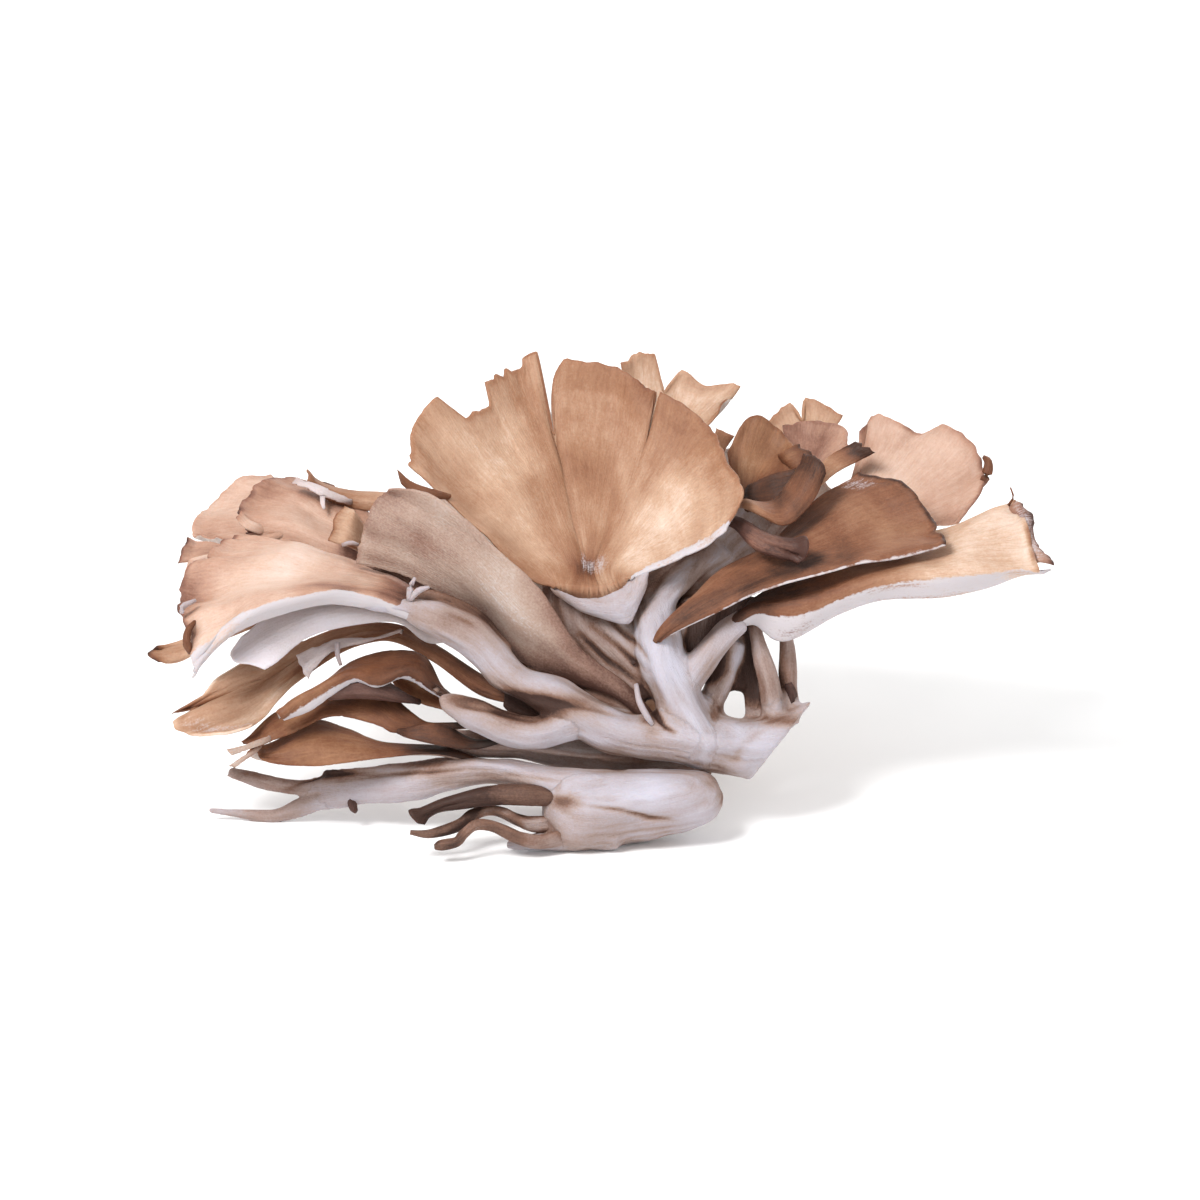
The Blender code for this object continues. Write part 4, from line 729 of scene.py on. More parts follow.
# %% The table of the back fronds
BACK_FRONDS = {
    "behind_cap_frond": dict(
        root=1.8, foot=(10.8, 21.8, 61), gather=0.4, skins=TAN, wave=(0.6, 2.5, 0.0), ragged=0.7,
        tones=(0.1, 0.25, 0.1),
        tears=[(0.42, 0.42, 0.78, 0.09), (0.62, 0.62, 0.9, 0.09)],
        stains_and_shading=[(0.5, 0.6, 0.8, 0.4, 0.3)],
        rails=[
            [(9, 24, 64), (5.5, 27, 73), (3, 28, 81.5)],
            [(9.7, 24, 64.5), (8, 28, 74), (7.5, 30, 83.3)],
            [(10.5, 24, 64.5), (12, 28, 73), (13.5, 30, 80.5)],
            [(11, 24, 64.3), (16.5, 27, 71.5), (23.5, 29, 77.5)],
            [(11.5, 24, 64), (16, 25, 69), (21, 26, 73.5)],
        ]),
    "small_tip": dict(
        root=1.2, foot=(17.8, 18, 60), gather=0.4, skins=TAN, ragged=0.5,
        rails=[
            [(17.5, 19, 62), (18.5, 21.5, 66), (19.3, 23, 70.5)],
            [(19.5, 19.5, 62), (20.6, 22, 66), (22.3, 23.5, 69)],
        ]),
    "cap_side_tip": dict(
        root=0.9, foot=(-25, 1.2, 58.8), gather=0.6, skins=BROWN, ragged=0.3,
        rails=[
            [(-27.0, -0.9, 59.9), (-31, -0.7, 61.2), (-33.8, -0.3, 63.4)],
            [(-27.5, -1.3, 58.4), (-31, -1.1, 59.4), (-33, -0.8, 60.9)],
        ]),
    "rear_low_frond": dict(
        root=2.6, foot=(13.2, 18.2, 24.4), gather=0.45, skins=TAN, wave=(0.8, 3.0, 0.0), ragged=0.0,
        tones=(-0.2, 0.2, 0.2),
        outline=[(0, 0.985), (1, 0.985)],
        rails=[
            [(9, 22.5, 25), (3, 28, 25), (-1, 35, 21), (0, 41, 15.6)],
            [(11, 23, 26), (8.5, 30, 27), (7, 38, 23.5), (7, 44, 15.8)],
            [(14, 23, 26), (14, 31, 27), (14.2, 38, 23.5), (14.6, 44, 15.8)],
            [(15.6, 22.5, 24.5), (18.6, 28, 24.5), (20.2, 35, 20.5), (20, 40, 15.2)],
        ]),
    "rear_left_frond": dict(
        root=2.4, foot=(-0.4, 16, 45), gather=0.4, skins=PORES, wave=(0.8, 2.5, 0.4), ragged=0.9,
        ruffle=0.8, tones=(0.1, 0.4, 0.3),
        rails=[
            [(-4, 17, 42.5), (-13, 21, 40), (-20, 26, 37), (-28, 30, 35)],
            [(-4.5, 17.5, 43.5), (-14, 23, 43), (-24, 29, 43), (-34, 34, 43)],
            [(-5, 18, 44.5), (-13, 24, 47.5), (-22, 31, 51), (-31, 36, 54)],
            [(-5, 18, 46), (-10.5, 24, 52), (-16, 30, 58), (-22, 35, 63)],
        ]),
    "rear_right_frond": dict(
        root=2.2, foot=(23.4, 16, 49.5), gather=0.4, skins=PORES, wave=(0.7, 2.5, 1.0), ragged=0.9,
        ruffle=0.8, tones=(0.1, 0.4, 0.3),
        rails=[
            [(26, 17.8, 48.5), (30, 23, 48), (35, 28, 48), (41, 31, 49)],
            [(26.4, 18, 50), (31, 25, 52), (36, 31, 55), (41, 34, 58)],
            [(25.6, 18.5, 51.4), (28, 26, 56), (30, 33, 61), (32, 37, 65)],
            [(24, 19, 52), (23, 26, 57.5), (22, 33, 63), (20, 37, 67)],
        ]),
    "rear_upper_frond": dict(
        root=2.2, foot=(0.2, 16.4, 45.6), gather=0.3, skins=PORES, wave=(0.7, 2.5, 0.0), ragged=0.9,
        ruffle=0.8, tones=(0.1, 0.4, 0.3),
        rails=[
            [(-3, 19, 48), (-8, 25, 55), (-12, 31, 62), (-16, 35, 69)],
            [(-1.5, 19.5, 48.5), (-3, 27, 57), (-5, 34, 65), (-7, 38, 73)],
            [(0.5, 19.5, 48.5), (2.5, 27, 57), (4, 34, 65), (5, 38, 72)],
            [(2, 19, 48), (8, 24, 54), (12, 30, 60), (15, 34, 65)],
        ]),
}
print("back fronds:", ", ".join(BACK_FRONDS))

# %% [markdown]
# ## From rails to a living sheet
# The plain surface is read from the rails. Four things then make it a frond: it grows in
# waves, folds into furrows, ruffles at the rim, and tears. Tears come first in the code,
# because they pull points back along the sheet, and no face has to be cut away. Waves,
# furrows and ruffles then move the points off the surface.

# %% Reading a point on the rails
FRONDS = {**MIDDLE_FRONDS, **LEFT_FRONDS, **LOW_FRONDS, **RIGHT_FRONDS, **BACK_FRONDS}
STEP = 0.01                   # step for reading the surface's direction


def reach_of(rails):
    """How far along the frond each row of rail points lies, from 0 to 1, and its length."""
    lengths = np.linalg.norm(np.diff(rails, axis=1), axis=2).mean(axis=0)
    return np.concatenate([[0], np.cumsum(lengths)]) / lengths.sum(), lengths.sum()


def surface(rails, reach, u, v):
    """Points (x, depth, height) on the sheet, u across and v from root to rim."""
    params = np.interp(v, reach, np.linspace(0, 1, len(reach)))
    lines = extended(np.array([spline(rail, params) for rail in rails]))
    index, t = spans(len(rails), u)
    column = np.arange(len(u))
    return catmull(*(lines[index + k, column] for k in range(4)), t)


def directions(rails, reach, u, v):
    """The sheet's unit normals, turned towards the front."""
    across = surface(rails, reach, u + STEP, v) - surface(rails, reach, u - STEP, v)
    along = surface(rails, reach, u, v + STEP) - surface(rails, reach, u, v - STEP)
    normal = np.cross(across, along)
    normal /= np.maximum(np.linalg.norm(normal, axis=1, keepdims=True), 1e-9)
    return normal * (-1 if normal[:, 1].mean() > 0 else 1)


for name, shape in FRONDS.items():
    print("%-20s %2d rails, %4.1f mm from root to rim"
          % (name, len(shape["rails"]), reach_of(np.array(shape["rails"], dtype=float))[1]))

# %% [markdown]
# ## Tears
# A maitake's rim is never cut clean. It frays in steps: big bites between the lobes, small
# ones between bundles of fibres, and single fibres at the end. Three sizes of noise added
# together give that line. A long tear is a narrow V in the rim that pulls its two sides
# towards its tip, as a real one closes again when the frond is let go.

# %% Torn rims
BITES = ((3.1, 0.55, 0.0), (1.1, 0.3, 5.0), (0.5, 0.3, 9.0))     # size in mm, share, place in the noise


def jagged(place, seed):
    """A torn line: big bites, small bites and frayed fibres, about -1 to 1."""
    return sum(share * wander(place / size, seed, layer) for size, share, layer in BITES)


def torn(shape, u, v, width, length, seed):
    """Moves (u, v) so that the sheet's edges are ragged and its rim is torn."""
    cut = np.interp(u, *zip(*shape["outline"]))
    for rim_at, tip_at, tip, half in shape["tears"]:
        cut = cut - (1 - tip) * np.maximum(0, 1 - abs(u - rim_at) / half)
    cut = cut - shape["ragged"] / length * (jagged(u * width, seed) + 0.3)
    moved = v * (1 - (1 - cut) * v ** 2)
    lean = np.zeros_like(u)
    for rim_at, tip_at, tip, half in shape["tears"]:
        down = np.clip((1 - moved) / (1 - tip), 0, 1)
        lean += (tip_at - rim_at) * ease(abs(u - rim_at), 0.11, 0.0) * down * ease(moved, 0, 0.4)
    sides = (1 - u) ** 16 * jagged(v * length, seed + 40) - u ** 16 * jagged(v * length, seed + 60)
    return u + lean + shape["fray"] / width * sides, moved


sample = jagged(np.linspace(0, 60, 300), 0)
print("a torn line swings from %.2f to %.2f of its size" % (sample.min(), sample.max()))

# %% [markdown]
# ## Tones
# The tone runs from root to rim, is darkened in a broken band at the rim, where the frond
# has dried, and drifts a little in soft clouds; a dark root is painted shade. Stains, spots
# of painted shade and a painted highlight are added on top as soft spots. They are worked
# out once for each point and stored on the mesh, so the colour stays with the flesh
# however it is bent, and the material stays the same for all fronds.

# %% Painting a frond
DRY_RIM = 1.3                 # width of the darkened rim, mm


def spot(u, v, at_u, at_v, half_u, half_v, amount):
    """A soft spot: amount in its middle, fading outwards."""
    return amount * np.exp(-((u - at_u) / half_u) ** 2 - ((v - at_v) / half_v) ** 2)


def painted(shape, u, v, width, length, seed):
    """The tone and the white share of every point."""
    tone = np.interp(v, (0, 0.5, 1), shape["tones"])
    broken = 0.35 + 0.65 * ease(wander(u * width / 2.2, seed, 3), -0.5, 0.5)
    tone = tone + shape["edge"] * broken * ease(v * length, length - DRY_RIM, length)
    tone = tone + 0.16 * wander(u * width / 9, v * length / 12, seed)
    tone = tone + 0.09 * wander(u * width / 2.6, v * length / 20, seed + 2)
    # Stains, and spots of painted shade and painted highlight
    for stain_or_shade in shape["stains_and_shading"]:
        tone = tone + spot(u, v, *stain_or_shade)
    white = np.zeros_like(u)
    if "bare" in shape:
        edge = u + 0.35 / width * jagged(v * length, seed + 80)
        soft = 0.25 / width
        white = ease(edge, shape["bare"] - soft, shape["bare"] + soft)
    for patch in shape["pale"]:
        change = spot(u, v, *patch)
        white = np.maximum(white, change) if patch[-1] > 0 else white + change
    return tone, white


def give(mesh, name, kind, values):
    """Stores values on a mesh's points as an attribute."""
    layer = mesh.attributes.new(name, kind, "POINT")
    layer.data.foreach_set("vector" if kind == "FLOAT_VECTOR" else "value",
                           np.asarray(values, dtype=np.float32).ravel())


def mark(mesh, tone, white, grain):
    """Gives a mesh the three attributes that the skins read, and smooth shading."""
    give(mesh, "tone", "FLOAT", tone)
    give(mesh, "white", "FLOAT", white)
    give(mesh, "grain", "FLOAT_VECTOR", grain)
    mesh.shade_smooth()


print("fronds with a bare edge of pores:", [name for name, shape in FRONDS.items() if "bare" in shape])

# %% [markdown]
# ## Folds
# A frond gathers to its stalk. Fine furrows and wider pleats run along it, the rim ruffles
# because it grows faster than the middle, and it rolls over where it dries. Each is a
# smooth noise, wide or narrow, long or short, times its size in mm. They are added up and
# lift the points off the plain sheet. A cloth simulation would give folds too, but not the
# same ones at each try, and a frond isn't cloth: its folds are grown in.

# %% Roots and folds
ROLL_FROM = 2.2               # the rim starts to roll this far in, mm
BURIED = 1.6                  # a flap starts this far behind the frond's face, mm


def root_row(shape, rails):
    """One more point under each rail, so that the frond's root is buried in what bears it."""
    start = rails[:, 0]
    if "foot" in shape:
        return np.array(shape["foot"]) + (start - start.mean(axis=0)) * shape["gather"]
    back = start - rails[:, 1]
    if "of" in shape:
        start = start + np.array([0, BURIED, 0])
    return start + back * shape["sink"] / np.linalg.norm(back, axis=1, keepdims=True)


def folded(shape, u, v, torn_v, width, length, seed):
    """How far each point is lifted off the plain sheet, in mm."""
    folds = wander(u * width / 1.8, v * length / 16, seed)
    pleats = wander(u * width / 4.5, v * length / 14, seed + 1)
    ruffles = wander(u * width / 3.2, v * length / 8, seed + 3) + 0.5 * wander(u * width / 1.4, 0, seed + 5)
    lumps = wander(u * width / 8, v * length / 8, seed + 7)
    rim = ease(torn_v, 0.72, 1.0)
    rolled = ease((1 - v) * length, ROLL_FROM, 0.0) ** 1.5
    patchy = 0.4 + 0.6 * ease(wander(u * width / 7, seed + 9), -0.3, 0.4)
    return (shape["furrow"] * folds * (0.3 + 0.7 * v) + shape["ruffle"] * ruffles * rim
            + shape["pleat"] * pleats * ease(v, 0.15, 0.8) * min(1, width / 12)
            + shape["roll"] * rolled * patchy + 0.35 * lumps * ease(v, 0.0, 0.3))


deepest = max(FRONDS, key=lambda name: FRONDS[name].get("furrow", USUAL["furrow"]))
print("most wrinkled:", deepest)

# %% [markdown]
# ## One frond
# The grid is made flat, with a UV map that keeps each point's place. Its points are then
# moved to the surface. Solidify gives it a body: a vertex group tells how thick each point
# is, full in the middle of the root and thin at the rim and the sides, so the blade tapers
# as flesh does. Its material offsets give the back and the rim skins of their own.

# %% A sheet and its thickness


def made_object(name, mesh):
    """An object from a bmesh, linked to the scene; the bmesh is freed."""
    data = bpy.data.meshes.new(name)
    mesh.to_mesh(data)
    mesh.free()
    piece = bpy.data.objects.new(name, data)
    bpy.context.scene.collection.objects.link(piece)
    return piece


def flat_sheet(widest, length, cell):
    """A flat grid of cells about one cell wide, and its u and v."""
    mesh = bmesh.new()
    mesh.loops.layers.uv.new("UVMap")
    bmesh.ops.create_grid(mesh, x_segments=max(8, round(widest / cell)),
                          y_segments=max(8, round(length / cell)), size=0.5, calc_uvs=True)
    flat = np.array([vert.co[:] for vert in mesh.verts])
    return mesh, flat[:, 0] + 0.5, flat[:, 1] + 0.5


def thicken(piece, shape, u, v, width, length):
    """Gives a sheet its thickness: full at the root, thin at the rim and the sides."""
    thin = RIM / shape["root"]
    body = thin + (1 - thin) * (1 - v) ** 1.5 * (1 - abs(2 * u - 1) ** 2.5)
    inside = np.minimum(np.minimum(u, 1 - u) * width, (1 - v) * length)
    body = body * (0.5 + 0.5 * ease(inside, -0.1, 0.7))
    group = piece.vertex_groups.new(name="thickness")
    for index, weight in enumerate(body.tolist()):
        group.add([index], weight, "REPLACE")
    wall = piece.modifiers.new("wall", "SOLIDIFY")
    wall.thickness = shape["root"] * MM
    wall.offset = 0.0
    wall.vertex_group = group.name
    wall.material_offset = 1
    wall.material_offset_rim = 2


print("a blade is %.1f mm thick at its rim" % RIM)

# %% Growing one frond


def grow_frond(name, shape, seed):
    shape = {**USUAL, **shape}
    rails = np.array(shape["rails"], dtype=float)
    rails = np.concatenate([root_row(shape, rails)[:, None], rails], axis=1)
    reach, length = reach_of(rails)
    widths = np.linalg.norm(np.diff(rails, axis=0), axis=2).sum(axis=0)
    width = widths.mean()

    mesh, u, v = flat_sheet(widths.max(), length, shape["cell"])
    torn_u, torn_v = torn(shape, u, v, width, length, seed)
    points = surface(rails, reach, torn_u, torn_v)
    normal = directions(rails, reach, np.clip(torn_u, 0.02, 0.98), np.clip(torn_v, 0.02, 0.98))
    height, waves, phase = shape["wave"]
    points[:, 1] += height * torn_v ** 2 * np.sin(math.tau * waves * u + phase)
    points += normal * folded(shape, u, v, torn_v, width, length, seed)[:, None]
    for vert, place in zip(mesh.verts, placed(points)):
        vert.co = place
    mesh.normal_update()
    if sum(face.normal.y for face in mesh.faces) > 0:
        bmesh.ops.reverse_faces(mesh, faces=mesh.faces)

    piece = made_object(name + "_grown", mesh)
    tone, white = painted(shape, u, (v - reach[1]) / (1 - reach[1]), width, length, seed)
    grain = np.stack([u * width, v * length, np.full_like(u, seed * 7.7)], axis=-1)
    mark(piece.data, tone, white, grain)
    for key in shape["skins"]:
        piece.data.materials.append(SKINS[key])
    thicken(piece, shape, u, v, width, length)
    return piece


print("cells of a frond's sheet are about %.2f mm wide" % USUAL["cell"])

# %% [markdown]
# Each frond stands in for its own plain solid and rides on the one body that the whole
# cluster is. The seed is the frond's place in the table, so no two fronds tear alike and
# every run gives the same mushroom.

# %% Grow every frond


def settle(piece, slot, *stands_for):
    """Makes a piece ride on the cluster and stand for plain solids. The slot is not used."""
    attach(piece, "root")
    if stands_for:
        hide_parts(*stands_for)


cells = 0
for seed, (name, shape) in enumerate(FRONDS.items()):
    piece = grow_frond(name, shape, seed)
    settle(piece, name, name)
    cells += len(piece.data.polygons)
print("grown:", len(FRONDS), "cells:", cells)

# %% [markdown]
# ## Torn flaps
# Handling breaks fronds. Rims fold over, strips lift, and shreds of pore layer stay
# hanging. Each flap is grown by the same function, from two to four short rails, and
# belongs to the frond it broke from. One is no torn flap: a brown sheet set in the roll of
# the curled ribbon, painted shade for its hollow. Each flap's root lies just behind its
# frond's face, so it comes out of the flesh. Modelling flaps into the big sheets would need
# far finer rails.

# %% The table of flaps
FLAPS = {
    "top_torn_strip": dict(
        of="upper_left_frond", root=0.9, skins=LILAC, ragged=1.3, fray=0.9, ruffle=1.5,
        tones=(0.0, 0.4, 0.2),
        rails=[
            [(-41.8, 18.4, 58.6), (-45.4, 17.8, 60.2), (-48.4, 18.4, 61.4), (-51.0, 18.8, 62.4)],
            [(-43.0, 17.6, 57.9), (-46.2, 17.0, 58.8), (-49.2, 17.8, 60.4), (-52.0, 18.6, 61.6)],
        ]),
    "top_torn_hook": dict(
        of="upper_left_frond", root=0.6, skins=LILAC, ragged=0.3, tones=(0.4, 0.6, 0.6),
        rails=[
            [(-46.8, 17.2, 58.9), (-46.6, 16.4, 57.6), (-46.1, 16.2, 56.6)],
            [(-45.9, 17.2, 59.0), (-45.9, 16.4, 57.8), (-45.8, 16.2, 56.7)],
        ]),
    "top_rolled_rim": dict(
        of="upper_left_frond", root=1.2, skins=TAN, ragged=0.5, ruffle=0.8, tones=(0.0, 0.0, 0.1),
        rails=[
            [(-28.0, 15.0, 58.8), (-36.0, 20.4, 59.4), (-43.4, 21.6, 60.4), (-49.4, 21.4, 63.2)],
            [(-28.0, 13.0, 57.9), (-36.2, 17.8, 58.2), (-43.8, 19.2, 59.3), (-49.0, 19.6, 62.2)],
            [(-28.0, 13.6, 56.6), (-36.4, 17.8, 56.4), (-44.0, 19.8, 57.6), (-48.4, 20.4, 61.0)],
        ]),
    "upper_left_lip": dict(
        of="upper_left_frond", root=0.9, skins=PINK, ragged=0.5, ruffle=0.7, tones=(0.3, 0.3, -0.1),
        edge=-0.7,
        rails=[
            [(-56.6, 16.4, 52.6), (-59.0, 14.6, 53.4), (-61.0, 15.4, 55.2)],
            [(-56.0, 17.2, 53.8), (-58.2, 15.8, 54.8), (-60.2, 16.6, 56.2)],
        ]),
    "far_left_flake": dict(
        of="small_fold", root=0.8, foot=(-56, 15.6, 51.4), gather=0.5, skins=PINK, ragged=0.6,
        tones=(0.2, 0.4, 0.4),
        rails=[
            [(-61.0, 12.6, 48.2), (-66.4, 11.4, 46.6), (-69.6, 11.0, 45.2)],
            [(-61.0, 12.2, 49.8), (-66.0, 11.0, 49.2), (-68.6, 10.8, 48.4)],
        ]),
    "wrinkled_fold": dict(
        of="middle_frond", root=1.0, skins=DARK, ragged=0.7, furrow=1.3, pleat=1.2, ruffle=1.4,
        tones=(-0.1, 0.2, 0.1),
        rails=[
            [(-31.0, 3.6, 25.4), (-38.0, 1.4, 29.4), (-43.0, 0.6, 29.0), (-47.0, 1.4, 26.6)],
            [(-31.0, 3.2, 25.0), (-38.0, -0.6, 27.2), (-43.2, -1.0, 27.2), (-48.0, 0.0, 25.4)],
            [(-31.2, 3.4, 24.6), (-38.2, 0.8, 25.2), (-43.4, 0.6, 25.2), (-47.6, 1.2, 24.4)],
        ]),
    "low_shred_upper": dict(
        of="lower_left_fan", root=0.7, skins=PORES, ragged=0.6, fray=0.5, ruffle=0.8,
        tones=(0.0, 0.2, 0.2),
        rails=[
            [(-55.4, -0.4, 19.0), (-58.6, -2.2, 17.8), (-62.0, -2.0, 16.8)],
            [(-55.6, -0.6, 17.8), (-58.6, -2.4, 16.8), (-60.8, -2.2, 16.0)],
        ]),
    "low_shred_lower": dict(
        of="lower_left_fan", root=0.7, skins=PORES, ragged=0.6, fray=0.5, ruffle=0.8,
        tones=(-0.2, 0.1, 0.2),
        rails=[
            [(-56.8, -0.6, 17.4), (-59.2, -2.0, 15.8), (-61.6, -1.8, 14.2)],
            [(-57.2, -0.6, 16.4), (-59.0, -1.8, 15.0), (-60.6, -1.6, 13.8)],
        ]),
    "far_right_roll": dict(
        of="far_right_frond", root=0.9, skins=PINK, ragged=0.6, ruffle=1.0, tones=(-0.2, -0.3, -0.9),
        edge=-0.6,
        pale=[(0.5, 0.5, 0.5, 0.3, 0.6)],
        rails=[
            [(68.2, 10.4, 57.2), (69.2, 9.4, 58.0), (70.2, 10.2, 57.8)],
            [(69.4, 7.2, 54.4), (70.6, 6.0, 54.8), (71.6, 7.0, 54.4)],
            [(70.6, 3.0, 50.8), (71.8, 1.6, 51.0), (73.0, 2.6, 50.4)],
            [(71.4, -0.2, 47.6), (73.0, -2.0, 47.8), (74.4, -0.8, 46.8)],
        ]),
    # Not a torn flap: a brown sheet inside the ribbon's roll, painted shade for its hollow
    "ribbon_shade_sheet": dict(
        of="curled_ribbon", root=1.0, skins=BROWN, ragged=0.2, tones=(-0.6, -0.5, -0.2),
        rails=[
            [(25.6, 9.6, 61.2), (28.6, 10.0, 62.6), (33.0, 9.6, 63.6)],
            [(25.4, 9.0, 59.2), (28.8, 9.6, 60.0), (33.2, 9.0, 61.2)],
            [(25.6, 7.6, 57.0), (29.4, 8.0, 57.0), (32.8, 7.6, 58.0)],
        ]),
    "crinkled_edge": dict(
        of="brown_right_frond", root=0.9, skins=BROWN, ragged=0.8, pleat=0.8, ruffle=1.2,
        tones=(0.2, 0.0, -0.6),
        rails=[
            [(30.6, 14.4, 66.4), (32.2, 14.0, 67.2), (33.4, 14.4, 67.4)],
            [(32.0, 13.0, 64.6), (33.6, 12.4, 65.2), (34.8, 12.8, 65.0)],
            [(33.4, 12.0, 62.4), (34.8, 11.6, 63.0), (35.8, 12.0, 62.8)],
        ]),
}
print("flaps by frond:", {name: shape["of"] for name, shape in FLAPS.items()})

# %% Grow every flap
FLAP_SEED = 60                # flaps draw from another part of the noise than fronds

for number, (name, shape) in enumerate(FLAPS.items()):
    settle(grow_frond(name, shape, FLAP_SEED + number), shape["of"])
print("flaps:", len(FLAPS))

# %% [markdown]
# ## Stem and lower branch
# The stem is one body of flesh with many limbs. A limb is a row of sections, each an oval
# between two edges: (x, height) of one edge, (x, height) of the other, the depth of its
# middle and half its thickness. The limbs are closed tubes that overlap, and a voxel remesh
# melts them into one skin, as they grew. A Boolean union would keep a hard crease at every
# fork.

# %% The limbs of the stem
STEM_LIMBS = {
    "front_left": [
        (35.0, 24.5, 24.5, 11.3, 9.0, 7.0), (27.0, 22.0, 21.0, 12.4, 8.0, 7.5),
        (19.5, 22.5, 17.5, 13.6, 6.5, 7.0), (13.0, 23.5, 12.0, 14.8, 4.5, 6.0),
        (6.0, 22.8, 5.5, 15.8, 3.0, 5.2), (0.0, 25.0, -1.0, 17.3, 2.0, 4.6),
        (-6.5, 28.6, -8.0, 21.5, 1.2, 4.0), (-11.7, 30.2, -14.0, 25.3, 0.6, 3.4),
        (-15.3, 33.8, -17.7, 27.5, 0.0, 3.1), (-20.0, 38.7, -21.7, 31.8, -1.0, 2.8),
        (-25.0, 41.0, -27.0, 35.2, -2.0, 2.4), (-28.7, 41.7, -30.8, 37.4, -3.0, 1.9),
        (-31.6, 41.8, -33.0, 39.0, -3.8, 1.4), (-36.0, 42.2, -37.2, 39.8, -5.0, 1.0),
        (-41.0, 42.8, -41.8, 41.0, -7.0, 0.5),
    ],
    "trunk": [
        (11.0, 18.0, 22.0, 18.0, 5.5, 5.5), (8.5, 26.0, 17.5, 25.0, 5.0, 5.5),
        (6.2, 31.0, 14.5, 31.5, 4.5, 4.8), (6.0, 36.0, 13.5, 36.5, 4.5, 3.8),
        (6.0, 39.5, 12.5, 40.5, 5.5, 3.0), (8.0, 43.5, 14.5, 43.5, 7.5, 2.4),
        (13.0, 48.0, 18.0, 46.5, 9.5, 1.8), (19.5, 51.3, 22.5, 48.8, 11.0, 1.3),
    ],
    "right_fork": [
        (12.0, 30.0, 15.0, 25.0, 4.5, 3.4), (15.0, 33.0, 18.3, 29.0, 3.5, 2.8),
        (19.0, 37.5, 21.5, 33.5, 3.0, 2.2), (23.0, 40.0, 24.6, 36.7, 3.0, 1.7),
    ],
    "ridge": [
        (10.5, 27.0, 5.5, 23.0, 7.0, 3.0), (8.5, 32.5, 2.4, 27.5, 7.2, 2.8),
        (6.5, 37.5, -1.6, 33.8, 7.4, 2.4), (2.5, 40.5, -5.4, 38.6, 7.8, 1.9),
        (-2.0, 42.0, -7.6, 40.9, 8.6, 1.3),
    ],
    "stub": [
        (-3.5, 25.0, -4.0, 18.5, 1.0, 3.0), (-9.5, 22.3, -9.5, 17.2, 0.0, 3.0),
        (-15.0, 23.2, -15.0, 17.2, -0.8, 2.7), (-20.7, 25.2, -20.7, 19.8, -1.6, 2.2),
        (-25.4, 26.0, -25.2, 22.6, -2.4, 1.6), (-26.6, 25.6, -26.5, 24.2, -2.7, 0.8),
    ],
}
print("limbs:", ", ".join(STEM_LIMBS))

# %% [markdown]
# Thin walls of tissue close the hollows where neighbouring limbs grew together. Each is a
# limb too, only flat, and most get a dark tone that is painted shade for the hollow they
# close. Behind the walls stand round stalks, and on the hidden side the limbs that carry
# the rear fronds. These are drawn as paths of (x, depth, height, radius).

# %% The walls and stalks of the stem
STEM_WALLS = {
    "stub_wall": [
        (-3.5, 25.0, -4.0, 19.5, 3.4, 2.0), (-8.6, 27.4, -9.0, 20.6, 4.0, 1.6),
        (-12.6, 29.4, -13.2, 21.4, 4.2, 1.3), (-15.6, 31.0, -16.2, 23.6, 4.0, 0.8),
    ],
    "groove_wall": [
        (-14.5, 34.0, -16.0, 30.5, 1.0, 0.9), (-19.6, 40.0, -21.2, 35.5, 0.8, 0.8),
        (-25.4, 42.9, -26.6, 38.5, -0.2, 0.7), (-30.4, 43.9, -31.2, 40.0, -1.0, 0.7),
    ],
    "recess_wall": [
        (13.5, 30.0, 18.6, 30.0, 7.0, 1.5), (13.0, 36.0, 19.6, 36.0, 7.6, 1.5),
        (13.5, 42.0, 21.5, 42.0, 8.4, 1.1),
    ],
    "dark_core": [
        (24.0, 20.5, 29.0, 20.0, 10.5, 1.6), (23.8, 26.5, 28.2, 26.0, 10.5, 1.6),
        (22.6, 32.0, 27.4, 31.0, 10.5, 1.6), (22.0, 38.5, 26.8, 37.5, 9.8, 1.3),
        (22.0, 42.5, 26.4, 41.5, 9.2, 0.9),
    ],
    "web_wall": [
        (-41.5, 48.6, -41.5, 45.0, 8.5, 0.6), (-37.0, 48.0, -37.0, 43.5, 8.0, 0.8),
        (-31.0, 46.0, -32.0, 40.5, 6.5, 1.0), (-24.5, 42.0, -26.0, 37.0, 4.0, 1.2),
        (-18.0, 36.0, -19.0, 32.0, 2.5, 1.2),
    ],
    "notch_wall": [
        (1.5, 46.5, 3.5, 40.0, 6.0, 1.2), (6.5, 48.5, 8.5, 42.5, 7.4, 1.2),
        (12.0, 51.5, 13.0, 46.5, 9.2, 1.0),
    ],
    "gap_wall": [
        (19.5, 27.0, 24.8, 26.6, 10.0, 1.2), (19.0, 32.0, 24.6, 32.0, 10.0, 1.3),
        (19.5, 38.0, 24.0, 38.0, 9.8, 1.0),
    ],
    "fold_wall": [
        (-9.6, 46.4, 3.5, 45.0, 7.2, 1.0), (-9.0, 39.0, 3.0, 36.0, 6.6, 1.0),
        (-4.5, 32.5, 8.0, 30.5, 6.2, 1.0), (2.0, 27.5, 11.0, 25.5, 5.6, 1.2),
    ],
    "back_wall": [
        (5.0, 42.5, 18.0, 36.0, 10.4, 1.1), (9.5, 49.5, 24.0, 42.5, 11.2, 1.0),
        (17.5, 55.0, 29.5, 48.0, 12.0, 0.9), (22.5, 59.0, 33.0, 54.0, 12.6, 0.7),
    ],
    "fork_wall": [
        (14.0, 31.0, 24.0, 31.0, 8.4, 1.2), (14.0, 36.5, 25.0, 36.5, 8.8, 1.1),
        (15.0, 43.5, 27.0, 42.0, 9.4, 0.9),
    ],
    "crease_wall": [
        (6.5, 21.5, 7.0, 26.5, 4.8, 1.0), (0.5, 23.5, 1.0, 29.5, 5.2, 1.0),
        (-6.6, 26.5, -6.0, 32.0, 5.8, 0.9), (-12.0, 29.0, -12.0, 35.5, 5.8, 0.7),
    ],
}
